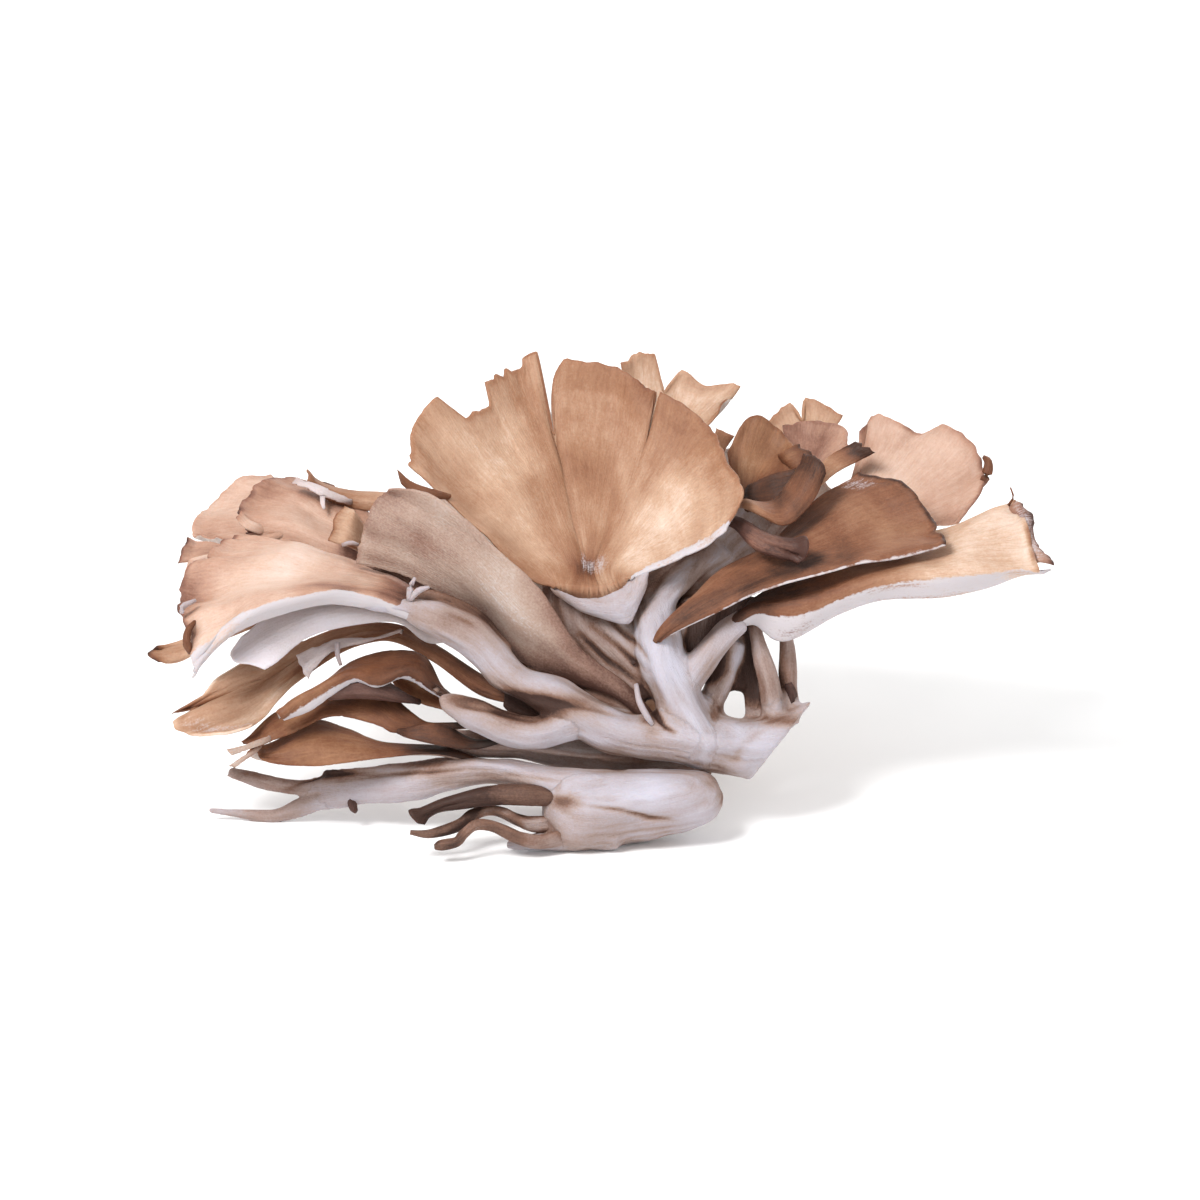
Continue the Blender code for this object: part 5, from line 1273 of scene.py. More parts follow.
STEM_STALKS = {
    "inner_stalk": [
        (29.3, 8.0, 19.5, 2.2), (28.8, 7.5, 24.0, 2.0), (27.9, 6.8, 28.5, 1.8), (26.5, 6.4, 33.5, 1.5),
        (25.7, 6.8, 37.8, 1.2),
    ],
    "outer_stalk": [
        (31.5, 9.5, 21.0, 1.8), (31.5, 10.0, 26.0, 1.6), (31.3, 10.0, 31.0, 1.5), (31.1, 9.6, 35.0, 1.4),
        (30.7, 9.2, 38.5, 1.2),
    ],
    "grey_stalk": [
        (18.0, 8.5, 20.0, 2.4), (18.7, 8.6, 25.0, 2.2), (20.6, 8.2, 30.0, 2.2), (22.6, 7.4, 35.0, 1.8),
    ],
    "rear_low_limb": [
        (16.0, 6.0, 20.0, 5.5), (14.5, 11.0, 22.0, 4.6), (13.0, 16.0, 24.0, 3.4), (12.5, 20.0, 25.0, 2.4),
    ],
    "rear_high_limb": [
        (10.0, 6.0, 34.0, 4.2), (8.0, 10.5, 38.5, 3.6), (4.0, 14.0, 42.5, 2.8), (0.0, 16.5, 45.5, 1.9),
    ],
    "rear_right_limb": [
        (11.5, 7.0, 36.0, 3.2), (15.0, 12.0, 40.5, 2.8), (20.0, 15.0, 45.5, 2.2), (24.0, 16.5, 50.0, 1.5),
    ],
    "rear_left_limb": [
        (-4.0, 5.5, 22.5, 2.6), (-11.5, 10.6, 29.5, 2.1), (-23.0, 12.4, 40.0, 1.8),
        (-31.0, 13.6, 47.0, 1.5), (-36.6, 14.0, 51.0, 1.1),
    ],
    "far_left_limb": [
        (-27.0, 12.6, 43.5, 1.4), (-32.0, 16.5, 47.0, 1.3), (-37.5, 19.5, 50.0, 1.1),
        (-42.6, 21.5, 52.5, 0.8),
    ],
    "behind_cap_limb": [
        (16.0, 13.0, 41.5, 1.8), (14.5, 16.5, 48.5, 1.5), (12.0, 20.0, 56.0, 1.3),
        (10.2, 22.9, 63.0, 1.0),
    ],
    "small_tip_limb": [
        (14.3, 16.8, 49.0, 1.2), (16.4, 17.6, 55.0, 1.0), (18.4, 18.3, 61.2, 0.7),
    ],
    "high_right_limb": [
        (23.0, 16.0, 48.5, 1.6), (27.8, 15.0, 54.0, 1.3), (31.5, 16.5, 58.0, 1.1),
        (34.2, 18.9, 61.4, 0.8),
    ],
    "lobe_limb": [
        (30.5, 16.0, 57.0, 1.1), (34.0, 21.0, 59.6, 0.9), (34.8, 24.2, 63.0, 0.7),
    ],
    "brown_frond_limb": [
        (26.2, 15.5, 52.0, 1.2), (25.0, 13.6, 54.8, 1.0), (24.7, 12.2, 56.6, 0.8),
    ],
    "pale_right_limb": [
        (22.0, 15.6, 47.5, 1.6), (29.0, 14.6, 51.0, 1.3), (34.5, 15.0, 53.0, 1.1),
        (39.4, 15.9, 53.7, 0.9),
    ],
}
print("walls:", len(STEM_WALLS), "stalks:", len(STEM_STALKS))

# %% [markdown]
# The lower branch is a second body: a thick butt end with a toe that lies on the table, and
# a long white frond that runs left from it and splits into two tongues. The lip is the pale
# sheet of pores that shows under the big cap, where its short stalk begins.

# %% The limbs of the lower branch and the lip
LOWER_LIMBS = {
    "butt": [
        (20.4, 9.6, 20.4, 7.8, 3.0, 1.6), (18.6, 12.3, 18.8, 5.2, 3.0, 4.4),
        (14.5, 13.6, 14.8, 3.3, 3.0, 6.4), (6.0, 13.4, 6.0, 1.6, 2.6, 7.0),
        (-1.0, 13.0, -1.0, 0.4, 2.2, 7.0), (-6.5, 12.6, -6.5, 0.4, 2.0, 5.4),
        (-9.6, 11.2, -9.4, 3.4, 2.2, 3.4),
    ],
    "butt_toe": [
        (3.0, 6.4, 3.0, 0.4, 1.0, 3.4), (-5.0, 4.6, -5.0, 0.1, 0.6, 2.4),
        (-11.0, 3.0, -11.0, 0.1, 0.3, 1.5), (-15.4, 1.9, -15.5, 0.5, 0.3, 0.7),
    ],
    "long_frond": [
        (2.0, 13.6, 2.0, 7.0, 3.0, 5.0), (-8.0, 14.3, -9.0, 8.6, 2.5, 4.4),
        (-16.7, 15.5, -16.7, 10.9, 3.5, 3.2), (-25.0, 15.6, -25.0, 9.8, 5.0, 2.5),
        (-31.5, 14.8, -31.5, 8.3, 7.0, 2.0), (-40.0, 14.0, -40.0, 7.5, 9.5, 1.6),
        (-46.0, 13.3, -47.0, 6.6, 11.5, 1.3),
    ],
    "upper_tongue": [
        (-43.0, 13.0, -44.0, 8.8, 11.5, 1.2), (-50.5, 11.9, -52.0, 9.3, 12.5, 1.0),
        (-57.0, 13.2, -57.5, 10.4, 14.0, 0.9), (-61.6, 13.8, -62.3, 12.2, 15.0, 0.6),
    ],
    "lower_tongue": [
        (-44.0, 11.0, -45.0, 7.2, 11.0, 1.2), (-49.8, 9.0, -50.0, 5.4, 13.0, 1.0),
        (-54.5, 6.9, -55.5, 4.5, 14.0, 0.9), (-61.0, 6.9, -62.0, 5.5, 14.0, 0.7),
        (-65.2, 7.0, -65.4, 6.2, 13.5, 0.5),
    ],
}
CAP_STALK = [
    (-8.6, 44.0, -7.6, 42.4, 3.0, 0.7), (-3.5, 44.6, -3.3, 39.8, 3.6, 1.6),
    (2.3, 45.0, 2.3, 37.8, 3.0, 1.9), (5.6, 45.4, 5.3, 38.0, 2.0, 1.0), (8.2, 47.0, 7.6, 43.6, 1.8, 0.6),
]
print("lower limbs:", ", ".join(LOWER_LIMBS))

# %% [markdown]
# ## Tubes
# A tube is a grid wrapped round through its rings, sewn along the seam and capped. The
# rings come from sections read off a smooth curve, one every RING mm. A little noise round
# and along the tube makes it swell and sink, because no stalk is turned on a lathe.

# %% Tubes through rings
AROUND = 48                   # corners of a limb's section
RING = 0.6                    # distance between its rings, mm


def tube(mesh, rings):
    """Adds a closed tube to a mesh: a grid wrapped round through rings, sewn and capped."""
    sides, rows = rings.shape[1], len(rings) - 1
    made = bmesh.ops.create_grid(mesh, x_segments=sides, y_segments=rows, size=0.5)["verts"]
    for vert in made:
        side = round((vert.co.x + 0.5) * sides) % sides
        row = round((vert.co.y + 0.5) * rows)
        vert.co = rings[row, side]
    seam = [vert for vert in made if vert.is_boundary]
    bmesh.ops.remove_doubles(mesh, verts=seam, dist=1e-6)
    edges = {edge for vert in made if vert.is_valid for edge in vert.link_edges if edge.is_boundary}
    bmesh.ops.holes_fill(mesh, edges=list(edges))


def ring_count(points):
    length = np.linalg.norm(np.diff(points, axis=0), axis=1).sum()
    return max(6, round(length / RING))


def limb_rings(rows, seed):
    """Oval rings through sections (x, height, x, height, depth, half)."""
    rows = np.array(rows)
    middle = np.stack([(rows[:, 0] + rows[:, 2]) / 2, rows[:, 4], (rows[:, 1] + rows[:, 3]) / 2], axis=-1)
    count = ring_count(middle)
    x1, z1, x2, z2, depth, half = (column[:, None] for column in spline(rows, np.linspace(0, 1, count)).T)
    turn = np.arange(AROUND) * math.tau / AROUND
    run = np.arange(count)[:, None] * RING
    swell = 1 + 0.10 * wander(np.cos(turn) * 1.5, np.sin(turn) * 1.5 + seed, run / 9)
    share = 0.5 + 0.5 * np.cos(turn) * swell
    points = np.stack([x1 + (x2 - x1) * share, depth + half * np.sin(turn) * swell,
                       z1 + (z2 - z1) * share], axis=-1)
    return placed(points.reshape(-1, 3)).reshape(count, AROUND, 3)


def stalk_rings(path, seed, around=24, wobble=0.12):
    """Round rings along a path of (x, depth, height, radius)."""
    path = np.array(path)
    count = ring_count(path[:, :3])
    table = spline(path, np.linspace(0, 1, count))
    centre = placed(table[:, :3])
    ahead = np.gradient(centre, axis=0)
    side = np.cross(ahead, (0.3, 0.2, 1.0))
    side /= np.linalg.norm(side, axis=1, keepdims=True)
    up = np.cross(side, ahead)
    up /= np.linalg.norm(up, axis=1, keepdims=True)
    turn = np.arange(around) * math.tau / around
    run = np.arange(count)[:, None] * RING
    swell = 1 + wobble * wander(np.cos(turn) * 1.2, np.sin(turn) * 1.2 + seed, run / 5)
    radius = table[:, 3:4] * MM * swell
    return (centre[:, None] + side[:, None] * (np.cos(turn) * radius)[..., None]
            + up[:, None] * (np.sin(turn) * radius)[..., None])


print("rings along the front left limb:", len(limb_rings(STEM_LIMBS["front_left"], 0)))

# %% [markdown]
# ## Melting
# The remesh modifier walks a fine grid of voxels and wraps one skin round everything that
# is filled. It is applied at once, because the steps after it move points. A few rounds of
# smoothing take off the voxels' steps.

# %% Melt limbs into one body
VOXEL = 0.36                  # mm
SMOOTHINGS = 5


def melted(name, ring_sets):
    """One smooth closed mesh from overlapping tubes."""
    mesh = bmesh.new()
    for rings in ring_sets:
        tube(mesh, rings)
    bmesh.ops.recalc_face_normals(mesh, faces=mesh.faces)
    piece = made_object(name, mesh)
    melt = piece.modifiers.new("melt", "REMESH")
    melt.mode = "VOXEL"
    melt.voxel_size = VOXEL * MM
    depsgraph = bpy.context.evaluated_depsgraph_get()
    whole = bpy.data.meshes.new_from_object(piece.evaluated_get(depsgraph))
    piece.modifiers.clear()
    piece.data = whole
    mesh = bmesh.new()
    mesh.from_mesh(whole)
    for _ in range(SMOOTHINGS):
        bmesh.ops.smooth_vert(mesh, verts=mesh.verts, factor=0.5, use_axis_x=True, use_axis_y=True,
                              use_axis_z=True)
    mesh.to_mesh(whole)
    mesh.free()
    return piece


print("voxels are %.2f mm wide" % VOXEL)

# %% [markdown]
# ## The grain of the flesh
# Flesh tears in long fibres, so its grain follows each limb. For every point of the melted
# skin the nearest limb's centre line is found. The distance along that line and the offset
# from it become the grain attribute, just as (across, along) did for the fronds.

# %% Grain along the limbs
BATCH = 4000                  # points looked at together, which keeps the memory small
LIMB_APART = 40               # mm of grain between two limbs, so that their fibres differ


def flesh_grain(points, ring_sets):
    """(across, along, across) in mm for each point, and the nearest limb's number."""
    best = np.full(len(points), np.inf)
    grain = np.zeros((len(points), 3))
    limb = np.zeros(len(points), dtype=int)
    for number, rings in enumerate(ring_sets):
        centre = rings.mean(axis=1)
        radius = np.linalg.norm(rings - centre[:, None], axis=2).mean(axis=1)
        ahead = np.gradient(centre, axis=0)
        ahead /= np.linalg.norm(ahead, axis=1, keepdims=True)
        for low in range(0, len(points), BATCH):
            part = points[low:low + BATCH]
            away = np.linalg.norm(part[:, None] - centre[None], axis=2)
            near = away.argmin(axis=1)
            depth = away[np.arange(len(part)), near] / radius[near]
            offset = part - centre[near]
            forward = (offset * ahead[near]).sum(axis=1)
            rest = offset - ahead[near] * forward[:, None]
            values = np.stack([rest[:, 0] + rest[:, 1] * 0.5, near * RING * MM + forward,
                               rest[:, 2] - rest[:, 1] * 0.5], axis=-1) / MM
            values[:, 1] += number * LIMB_APART
            closer = depth < best[low:low + BATCH]
            best[low:low + BATCH][closer] = depth[closer]
            grain[low:low + BATCH][closer] = values[closer]
            limb[low:low + BATCH][closer] = number
    return grain, limb


def read(data, name):
    """The points or normals of a mesh as an array."""
    values = np.empty(len(data.vertices) * 3, dtype=np.float32)
    data.vertices.foreach_get(name, values)
    return values.reshape(-1, 3).astype(float)


def neighbours(data):
    """A function that averages values over each point's neighbours."""
    edges = np.empty(len(data.edges) * 2, dtype=np.int32)
    data.edges.foreach_get("vertices", edges)
    first, second = edges.reshape(-1, 2).T
    degree = np.bincount(edges, minlength=len(data.vertices))

    def averaged(values):
        sums = [np.bincount(first, column[second], len(degree))
                + np.bincount(second, column[first], len(degree)) for column in np.atleast_2d(values.T)]
        return (np.array(sums) / degree).T.reshape(values.shape)
    return averaged


stub = limb_rings(STEM_LIMBS["stub"], 0)
print("the stub runs %.1f mm along its grain" % np.ptp(flesh_grain(stub.mean(axis=1), [stub])[0][:, 1]))

# %% [markdown]
# ## Finishing the flesh
# Where limbs meet, the remesh leaves a sharp crease. Filling only the hollow side, a little
# at a time, gives the webbed forks of a real mushroom and leaves the limbs as thick as they
# were. Then grooves are pressed in along the normals, fibres are raised, and the tone is
# worked out: painted shade darkens the grooves and the hollows, and stains, some of them
# painted shade too, are added.

# %% Forks and grooves
FORK_ROUNDS = 3
FORK_STEPS = 6


def layout_of(points):
    """Table metres back to layout millimetres."""
    dx, back, up = (np.asarray(points) / MM).T
    dy = back * math.cos(LEAN) - up * math.sin(LEAN)
    dz = back * math.sin(LEAN) + up * math.cos(LEAN)
    return np.stack([dx, dy, dz], axis=-1) + REST_POINT


def groove(points, line, half):
    """How deep each point lies in a groove along (x, height) points, 0 to 1, fading at its ends."""
    line = np.array(line, dtype=float)
    deep = np.zeros(len(points))
    for number, (start, end) in enumerate(zip(line[:-1], line[1:])):
        run = end - start
        share = np.clip(((points - start) @ run) / (run @ run), 0, 1)
        away = np.linalg.norm(points - start - share[:, None] * run, axis=1)
        along = (number + share) / (len(line) - 1)
        deep = np.maximum(deep, np.exp(-(away / half) ** 2) * np.sin(math.pi * along) ** 0.7)
    return deep


def hollowness(points, normals, averaged):
    """How far each point lies below its neighbours, above zero in a hollow."""
    return ((averaged(points) - points) * normals).sum(axis=1)


def fill_forks(data, averaged):
    """Fills the sharp creases where limbs meet, and leaves what bulges alone."""
    for _ in range(FORK_ROUNDS):
        points, normals = read(data, "co"), read(data, "normal")
        for _ in range(FORK_STEPS):
            points += normals * np.maximum(hollowness(points, normals, averaged), 0)[:, None]
        data.vertices.foreach_set("co", points.astype(np.float32).ravel())
        data.update()


print("the rest point in the layout:", layout_of([[0.0, 0.0, 0.0]])[0])

# %% Finish the flesh
FLESH_TONE = 0.3              # added to every limb's own tone
# Painted shade in the hollows of the flesh:
HOLLOW_SHADE = 26              # tone lost for each mm that a point lies below its neighbours


def finish_flesh(piece, ring_sets, tones, grooves, stains_and_shading):
    """Presses grooves and fibres into a melted body and gives it its skin and its tone, painted shade
    included.
    """
    data = piece.data
    averaged = neighbours(data)
    fill_forks(data, averaged)
    points, normals = read(data, "co"), read(data, "normal")
    grain, limb = flesh_grain(points, ring_sets)
    layout = layout_of(points)
    front = ease(layout_of(points + normals * MM)[:, 1] - layout[:, 1], 0.1, -0.4)

    fibres = wander(grain[:, 0] / 0.9, grain[:, 1] / 14, grain[:, 2] / 0.9)
    off = 0.08 * fibres + 0.16 * wander(*(layout / 4.0).T)
    tone = np.array(tones)[limb]
    for _ in range(10):
        tone = averaged(tone)
    tone = tone + 0.12 * fibres + 0.22 * wander(*(layout / 8.0).T) + FLESH_TONE
    # A groove's dent is pressed in, and its tone is lowered with it as painted shade
    for line, half, depth in grooves:
        dent = depth * groove(layout[:, [0, 2]], line, half) * front
        off -= dent
        tone -= 0.9 * dent
    # Stains, some of them painted shade under the limbs
    for stain_or_shade in stains_and_shading:
        tone += spot(layout[:, 0], layout[:, 2], *stain_or_shade) * (0.35 + 0.65 * front)
    points += normals * (off * MM)[:, None]
    points[:, 2] = np.maximum(points[:, 2], 0.0)
    data.vertices.foreach_set("co", points.astype(np.float32).ravel())

    # Painted shade: points that lie below their neighbours get a darker tone
    hollow_shade = hollowness(points, normals, averaged) / MM
    for _ in range(8):
        hollow_shade = 0.5 * hollow_shade + 0.5 * averaged(hollow_shade)
    mark(data, tone - np.clip(hollow_shade * HOLLOW_SHADE, -0.1, 1.0), np.zeros(len(points)), grain)
    data.update()
    data.materials.clear()
    data.materials.append(SKINS["flesh"])


print("flesh that lies 0.01 mm low loses %.2f of its tone" % (0.01 * HOLLOW_SHADE))

# %% [markdown]
# ## Marks and painted shade on the flesh
# The torn base has a crease that runs round the lower branch and tan edges where the flesh
# has dried, and the hollows between limbs are given painted shade. A groove is its
# (x, height) points, half its width and its depth in mm, and its dent is darkened as
# painted shade. A stain is (x, height, half its width, half its height, tone), and it is
# strongest on the side that faces the front; on the stem some of them are painted shade
# under the limbs. Each limb may have a tone of its own too, dark for the walls in the
# hollows, and that dark is painted shade.

# %% Marks of the flesh
STEM_GROOVES = [
    ([(-25, 24.4), (-18, 23.2), (-10, 21.4)], 0.5, 0.35),
    ([(-21, 30), (-12, 25.5), (-2, 23.6), (6, 22)], 0.5, 0.3),
    ([(6.4, 28), (8.6, 23.6), (11, 20.6), (13, 19.4)], 0.5, 0.7),
    ([(13, 29), (12.4, 37), (13.5, 43)], 0.8, 0.3), ([(-3, 31), (3, 27), (8, 22)], 0.9, 0.35),
    ([(-2, 38), (4, 33), (8, 29)], 0.7, 0.45), ([(-4, 36.6), (1, 32), (6, 28)], 0.5, 0.45),
    ([(0, 39.6), (5.5, 35), (8.6, 31)], 0.5, 0.4), ([(22, 14), (24, 18), (29, 21)], 0.9, 0.25),
]
# Stains, and painted shade: the dark spots on the upper side of the front left limb and on the stub below
# it stand for shade
STEM_STAINS_AND_SHADE = [
    (-20, 35.0, 6, 3, -0.5), (-22, 25.2, 4, 1.3, -0.8), (-15, 24.6, 5, 1.8, -1.0),
    (-9.5, 23.6, 4, 1.6, -0.8), (-22, 38.5, 9, 1.8, -0.5), (-7, 24.6, 7, 1.4, -0.9),
    (-12, 22.0, 7, 2.0, -0.6), (22, 38, 4, 5, -0.2), (35.4, 24, 1.2, 3.0, -0.7), (20, 14, 5, 2.0, -0.3),
    (-12, 25.2, 4, 1.8, -0.8), (-18, 26, 4, 1.0, -0.5), (19, 26, 2.5, 6, -0.5),
    (8.5, 23.5, 1.6, 3.5, -0.8), (25, 18, 9, 4, 0.2), (13, 33, 3, 6, 0.2), (30, 21.6, 5, 1.0, -0.8),
    (-25, 24, 3, 3, -0.3),
]
LOWER_GROOVES = [
    ([(-54, 9.2), (-50, 11.2), (-46, 12.6), (-40, 13.0), (-34, 13.4)], 0.5, 0.45),
    ([(-4.5, 8.1), (3, 7), (8, 5.6), (13, 5.2)], 0.45, 0.5), ([(-6, 9.4), (2, 8.6), (9, 8)], 0.8, 0.2),
    ([(-24, 12.6), (-14, 12.6), (-6, 11.5)], 0.6, 0.4),
    ([(-45, 11.5), (-34, 12.8), (-22, 13.6), (-10, 13.4)], 0.4, 0.35),
]
LOWER_STAINS = [
    (-18, 13.2, 6, 2, 0.5), (5, 9, 8, 3, 0.25), (21.2, 10, 1.0, 4, -2.6), (19.6, 12.6, 1.6, 1.4, -0.7),
    (-6, 8.3, 2.5, 1.2, -1.2), (-46, 13.2, 6, 0.9, -0.7), (-58, 12.6, 4, 1.5, -0.6),
    (-48, 13.4, 4, 1.0, -0.6), (-54, 12, 9, 4, -0.55), (-58, 6, 6, 2, -0.35), (8, 1.2, 10, 1.2, -0.5),
    (-8, 4, 3, 4, -0.4), (8, 10, 9, 3, 0.15), (-35, 14.6, 12, 0.9, -0.7), (-22, 12, 8, 2, -0.3),
    (-16, 11, 5, 2, -0.5), (-46, 12.4, 4, 1.2, -0.6),
]
LIP_STAINS = [(-8, 43, 2, 2, -0.3)]
# The dark tones of the walls are painted shade for the hollows they close
LIMB_TONES_AND_SHADE = {
    "trunk": 0.25, "ridge": -0.15, "stub_wall": -0.8, "groove_wall": -0.9, "recess_wall": -1.3,
    "dark_core": -1.2, "web_wall": -0.7, "notch_wall": -0.6, "gap_wall": -0.9, "fold_wall": -0.45,
    "back_wall": -0.3, "fork_wall": -1.3, "crease_wall": -0.7, "inner_stalk": -0.35,
    "outer_stalk": -0.6, "grey_stalk": 0.25, "rear_low_limb": -0.5, "rear_high_limb": -0.3,
    "rear_right_limb": -0.4, "rear_left_limb": -0.6,
}
print("grooves:", len(STEM_GROOVES) + len(LOWER_GROOVES), "stains:", len(STEM_STAINS_AND_SHADE) + len(LOWER_STAINS))

# %% Grow the stem, the lower branch and the lip


def grow_body(name, solid, limbs, stalks, grooves, stains_and_shading, seed):
    """A melted and finished body of limbs and stalks, standing for a plain solid."""
    ring_sets = [limb_rings(rows, seed + k) for k, rows in enumerate(limbs.values())]
    ring_sets += [stalk_rings(path, seed + 20 + k) for k, path in enumerate(stalks.values())]
    tones = [LIMB_TONES_AND_SHADE.get(limb, 0.0) for limb in [*limbs, *stalks]]
    piece = melted(name + "_grown", ring_sets)
    finish_flesh(piece, ring_sets, tones, grooves, stains_and_shading)
    settle(piece, solid, solid)
    print(name, "points:", len(piece.data.vertices))


grow_body("stem", "stem", {**STEM_LIMBS, **STEM_WALLS}, STEM_STALKS, STEM_GROOVES, STEM_STAINS_AND_SHADE, 101)
grow_body("lower_branch", "lower_branch", LOWER_LIMBS, {}, LOWER_GROOVES, LOWER_STAINS, 151)
grow_body("cap_lip", "big_cap", {"lip": CAP_STALK}, {}, [], LIP_STAINS, 171)

# %% [markdown]
# ## Curled stalks
# Two dried stalks curl under the lower branch, pale where they leave it and dark at their
# tips. Each is one tube along its path, which starts inside the branch. A curve object
# with a bevel would be quicker, but it can't carry the fibres of the flesh.

# %% Grow the curled stalks
TENDRILS = {
    "curly_stalk_upper": [
        (-5, 0.6, 5.2, 1.5), (-10.5, -0.4, 4.4, 1.2), (-13.4, -0.8, 5.0, 1.0), (-16.4, -1.0, 6.6, 0.9),
        (-18.8, -1.2, 6.8, 0.8), (-21.2, -1.8, 6.0, 0.8), (-23.4, -3.0, 4.4, 0.8),
        (-28.0, -4.4, 3.0, 0.7), (-31.4, -4.6, 3.3, 0.4),
    ],
    "curly_stalk_lower": [
        (-5, -0.6, 3.0, 1.4), (-10.3, -2.8, 1.6, 1.2), (-13.4, -3.4, 2.4, 1.0), (-17.2, -4.2, 4.2, 0.9),
        (-20.4, -4.8, 4.4, 0.8), (-22.4, -5.4, 3.1, 0.8), (-23.6, -5.6, 1.7, 0.8),
        (-26.2, -5.6, 1.2, 0.8), (-27.2, -5.2, 0.8, 0.5),
    ],
}
STALK_SEED = 201


def grow_stalk(name, path, seed, around, wobble, kind, tone_of):
    """One tapered tube along a path of (x, depth, height, radius), with its skin."""
    rings = stalk_rings(path, seed, around, wobble)
    mesh = bmesh.new()
    tube(mesh, rings)
    bmesh.ops.recalc_face_normals(mesh, faces=mesh.faces)
    piece = made_object(name, mesh)
    points = read(piece.data, "co")
    mark(piece.data, tone_of(points), np.zeros(len(points)), flesh_grain(points, [rings])[0])
    piece.data.materials.append(SKINS[kind])
    return piece


def dried_tip(points):
    """The tone of a curled stalk: mottled, and darker towards its tip."""
    return 0.4 * wander(*(points / MM / 3).T) - 0.2 - 0.8 * ease(points[:, 0] / MM, -4, -28)


for number, (name, path) in enumerate(TENDRILS.items()):
    settle(grow_stalk(name + "_grown", path, STALK_SEED + number, 24, 0.35, "flesh", dried_tip), name, name)
print("curled stalks:", len(TENDRILS))

# %% [markdown]
# ## Wisps, curls and nubs
# Torn flesh leaves wisps: thin white strands that hang off the limbs. Bits of the rims curl
# up or stand off as a fleck or a hair, and two dark nubs are left where small stalks broke
# away. Each is a short tapered tube with only a dozen corners round it, since most are
# under 2 mm thick.

# %% Grow the wisps
WISPS = {
    "wisp_v_left": ("flesh", [(-31.6, -4.4, 41.6, 0.45), (-31.4, -4.9, 43.6, 0.5),
                              (-30.6, -5.0, 45.4, 0.25)]),
    "wisp_v_right": ("flesh", [(-31.4, -4.6, 41.7, 0.4), (-30.0, -5.1, 43.2, 0.5),
                               (-28.2, -5.0, 43.8, 0.25)]),
    "wisp_trunk": ("flesh", [(6.0, -0.4, 27.6, 0.5), (6.5, -1.6, 25.0, 0.5), (7.8, -1.8, 22.4, 0.5),
                             (8.6, -1.2, 21.0, 0.3)]),
    "wisp_left": ("flesh", [(-43.6, 1.6, 34.6, 0.5), (-43.5, 1.0, 32.6, 0.35), (-43.0, 0.8, 30.8, 0.25)]),
    "wisp_flap": ("flesh", [(-42.8, 8.0, 50.8, 0.35), (-41.4, 7.2, 51.2, 0.4), (-40.2, 7.4, 50.8, 0.3)]),
    "rim_curl": ("brown", [(-66.8, -9.2, 38.2, 0.3), (-68.0, -10.4, 36.6, 0.6),
                           (-68.1, -10.8, 34.6, 0.7), (-67.6, -9.8, 32.8, 0.3)]),
    "rim_fleck": ("flesh", [(-66.8, -8.2, 41.6, 0.3), (-68.8, -9.6, 40.6, 0.5), (-69.0, -9.6, 39.4, 0.3)]),
    "pale_rim_curl": ("brown", [(63.4, 19.6, 60.4, 0.4), (64.6, 18.6, 62.4, 0.8),
                                (64.9, 19.0, 64.6, 0.7), (64.2, 20.4, 65.6, 0.3)]),
    "hair_right": ("brown", [(68.0, 10.0, 57.4, 0.22), (68.8, 9.6, 58.8, 0.16), (68.3, 9.2, 60.4, 0.12)]),
    "nub_dark": ("dark", [(-41.4, 9.6, 8.6, 0.8), (-41.2, 9.2, 7.2, 0.8), (-40.6, 8.8, 6.4, 0.4)]),
    "nub_brown": ("dark", [(31.6, 9.4, 24.4, 1.2), (31.8, 8.8, 26.4, 1.0), (31.4, 8.4, 27.8, 0.6)]),
}
WISP_SEED = 301
WISP_TONES = {"flesh": 0.5, "brown": 0.0, "dark": 0.0}

for number, (name, (kind, path)) in enumerate(WISPS.items()):
    settle(grow_stalk(name, path, WISP_SEED + number, 12, 0.3, kind,
                      lambda points: np.full(len(points), WISP_TONES[kind])), "stem")
print("wisps:", len(WISPS))

# %% [markdown]
# ## Painted shade in the hollows
# Where fronds crowd together, their tone is darkened as painted shade. Rays sent from each
# point in a ball of directions tell how much other flesh stands within a few millimetres,
# and the tone is lowered by that share, as is the white of bare flesh, though less.
# Painting this shade by hand would take longer, and would have to be redone whenever a
# frond is moved.

# %% Rays in a ball
REACH = 9 * MM
RAYS = 18
CLEAR = 1.4 * MM              # rays start this far off the flesh, so they don't meet it at once
OUTWARD = 0.25                # rays flatter to the flesh than this cosine aren't sent
GOLDEN_TURN = math.pi * (1 + 5 ** 0.5)

steps = np.arange(RAYS) + 0.5
tilt = np.arccos(1 - 2 * steps / RAYS)
turn = GOLDEN_TURN * steps
BALL = np.stack([np.cos(turn) * np.sin(tilt), np.sin(turn) * np.sin(tilt), np.cos(tilt)], axis=-1)


def painted_shade_share(points, normals, tree):
    """The share of rays from each point that meet other flesh, which becomes painted shade."""
    facing = normals @ BALL.T
    starts = points + normals * CLEAR
    rays = [Vector(ray) for ray in BALL]
    met = np.zeros(len(points))
    for index, start in enumerate(starts.tolist()):
        for ray in np.flatnonzero(facing[index] > OUTWARD):
            if tree.ray_cast(start, rays[ray], REACH)[0] is not None:
                met[index] += facing[index, ray]
    return met / np.maximum(np.maximum(facing, 0).sum(axis=1), 1e-6)


print("rays:", RAYS, "reach: %.0f mm" % (REACH / MM))

# %% Paint shade into the crowded places
# Painted shade: what each attribute loses where all is crowded
PAINTED_SHADE = {"tone": -0.6, "white": -0.2}     # what each attribute loses where all is crowded
BLURS = 4                                     # rounds that soften the shade's edges

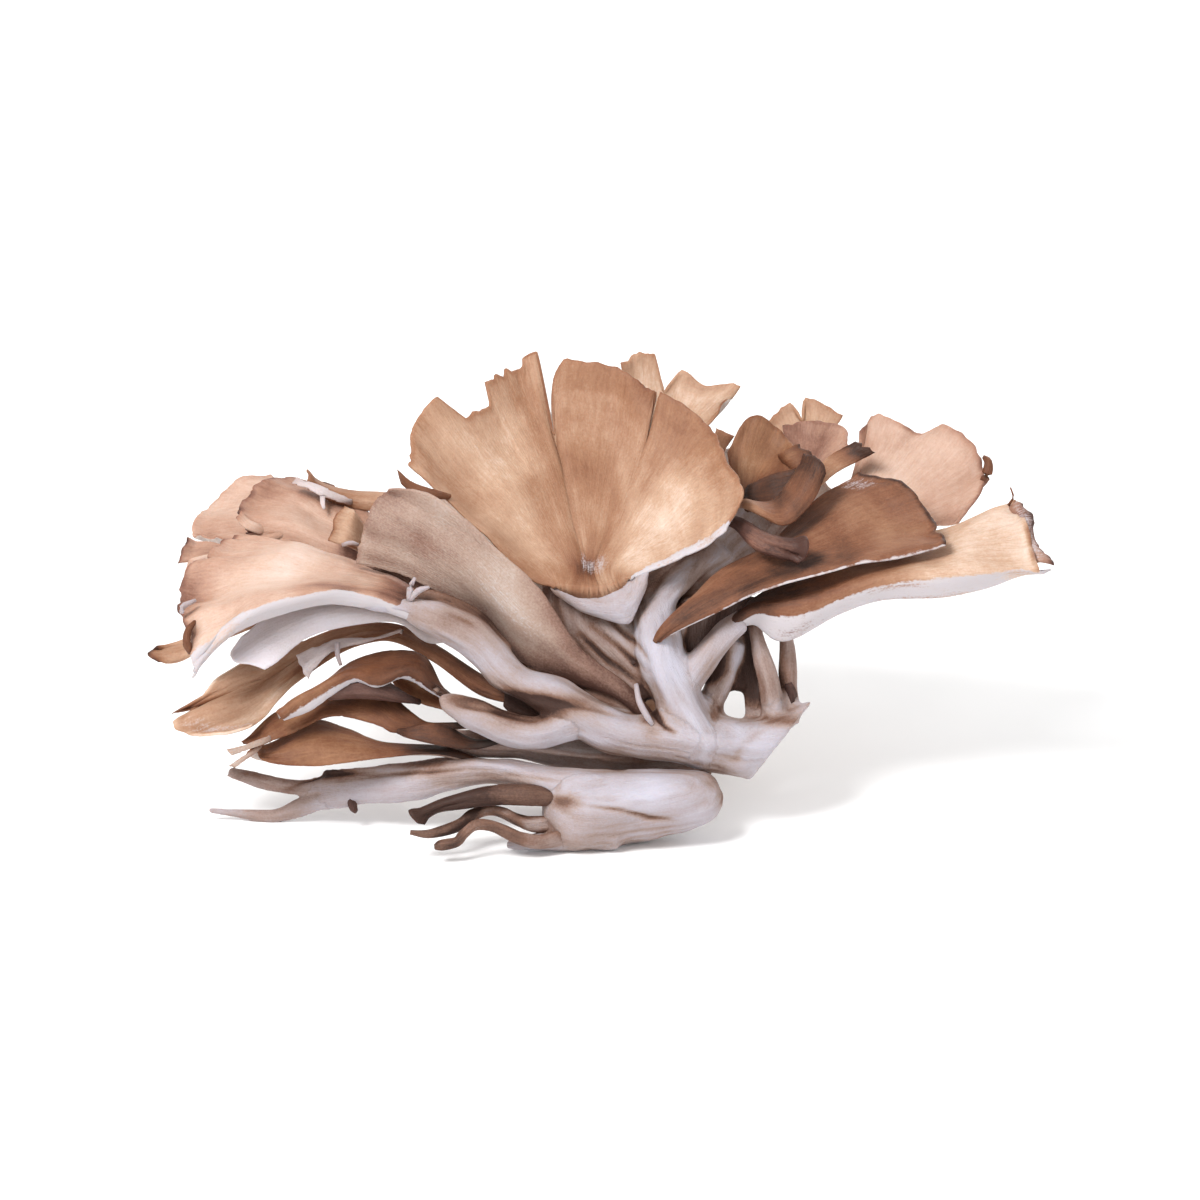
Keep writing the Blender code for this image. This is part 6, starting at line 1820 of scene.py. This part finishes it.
bodies = [item for item in bpy.context.scene.objects
          if item.type == "MESH" and "tone" in item.data.attributes]
corners, faces = [], []
for item in bodies:
    start = len(corners)
    corners += [vert.co[:] for vert in item.data.vertices]
    faces += [[start + corner for corner in face.vertices] for face in item.data.polygons]
tree = BVHTree.FromPolygons(corners, faces)

for item in bodies:
    data = item.data
    # dark is the share of painted shade at each point, from the rays
    dark = painted_shade_share(read(data, "co"), read(data, "normal"), tree)
    averaged = neighbours(data)
    for _ in range(BLURS):
        dark = 0.4 * dark + 0.6 * averaged(dark)
    for name, strength in PAINTED_SHADE.items():
        values = np.empty(len(data.vertices), dtype=np.float32)
        data.attributes[name].data.foreach_get("value", values)
        data.attributes[name].data.foreach_set("value", (values + strength * dark).astype(np.float32))
print("bodies darkened:", len(bodies), "points:", len(corners))

# %% [markdown]
# ## Light, floor and camera
# A pale floor and a bright even sky give soft, plain light. Three round lamps do the rest:
# the key from above on the left models the folds, one behind lights the rims, and a weak
# one on the right fills the shade. The camera looks down by the lean of the cluster, from
# far away with a long lens, so nothing looks stretched.

# %% Floor
FLOOR = 4.0                   # half the floor's width, m

mesh = bmesh.new()
bmesh.ops.create_grid(mesh, x_segments=1, y_segments=1, size=FLOOR)
floor = made_object("floor", mesh)
paper = bpy.data.materials.new("floor_paper")
paper.use_nodes = True
paper.node_tree.nodes["Principled BSDF"].inputs["Base Color"].default_value = (0.97, 0.97, 0.97, 1)
paper.node_tree.nodes["Principled BSDF"].inputs["Roughness"].default_value = 0.9
floor.data.materials.append(paper)
print("floor: %.0f m wide" % (2 * FLOOR))

# %% Sky and lamps
AIM = Vector((0, 0.015, 0.035))       # the middle of the cluster

world = bpy.data.worlds.new("soft_sky")
world.use_nodes = True
world.node_tree.nodes["Background"].inputs["Color"].default_value = (1.0, 1.0, 1.0, 1)
world.node_tree.nodes["Background"].inputs["Strength"].default_value = 0.64
bpy.context.scene.world = world
bpy.context.scene.view_settings.view_transform = "Standard"


def lamp(name, place, size, power):
    light = bpy.data.lights.new(name, "AREA")
    light.shape = "DISK"
    light.size = size
    light.energy = power
    item = bpy.data.objects.new(name, light)
    item.location = place
    item.rotation_euler = (AIM - Vector(place)).to_track_quat("-Z", "Y").to_euler()
    bpy.context.scene.collection.objects.link(item)


lamp("key_lamp", (-0.45, -0.5, 0.8), 0.4, 11.5)
lamp("back_lamp", (0.35, 0.75, 0.55), 0.6, 4.0)
lamp("fill_lamp", (0.7, -0.6, 0.4), 0.8, 2.5)
print("lamps:", len(bpy.data.lights))

# %% Camera
FRAME_MIDDLE = (0.0, 12.0, 41.67)     # the layout point in the middle of the view
DISTANCE = 2222.0                     # mm

camera = bpy.data.cameras.new("camera")
camera.lens = 400
camera.sensor_width = 36
camera.clip_end = 20
eye = bpy.data.objects.new("camera", camera)
eye.location = placed([(FRAME_MIDDLE[0], FRAME_MIDDLE[1] - DISTANCE, FRAME_MIDDLE[2])])[0]
eye.rotation_euler = (math.pi / 2 - LEAN, 0, 0)
bpy.context.scene.collection.objects.link(eye)
bpy.context.scene.camera = eye
print("the camera stands %.1f m away and sees %.0f mm"
      % (DISTANCE * MM, DISTANCE * camera.sensor_width / camera.lens))
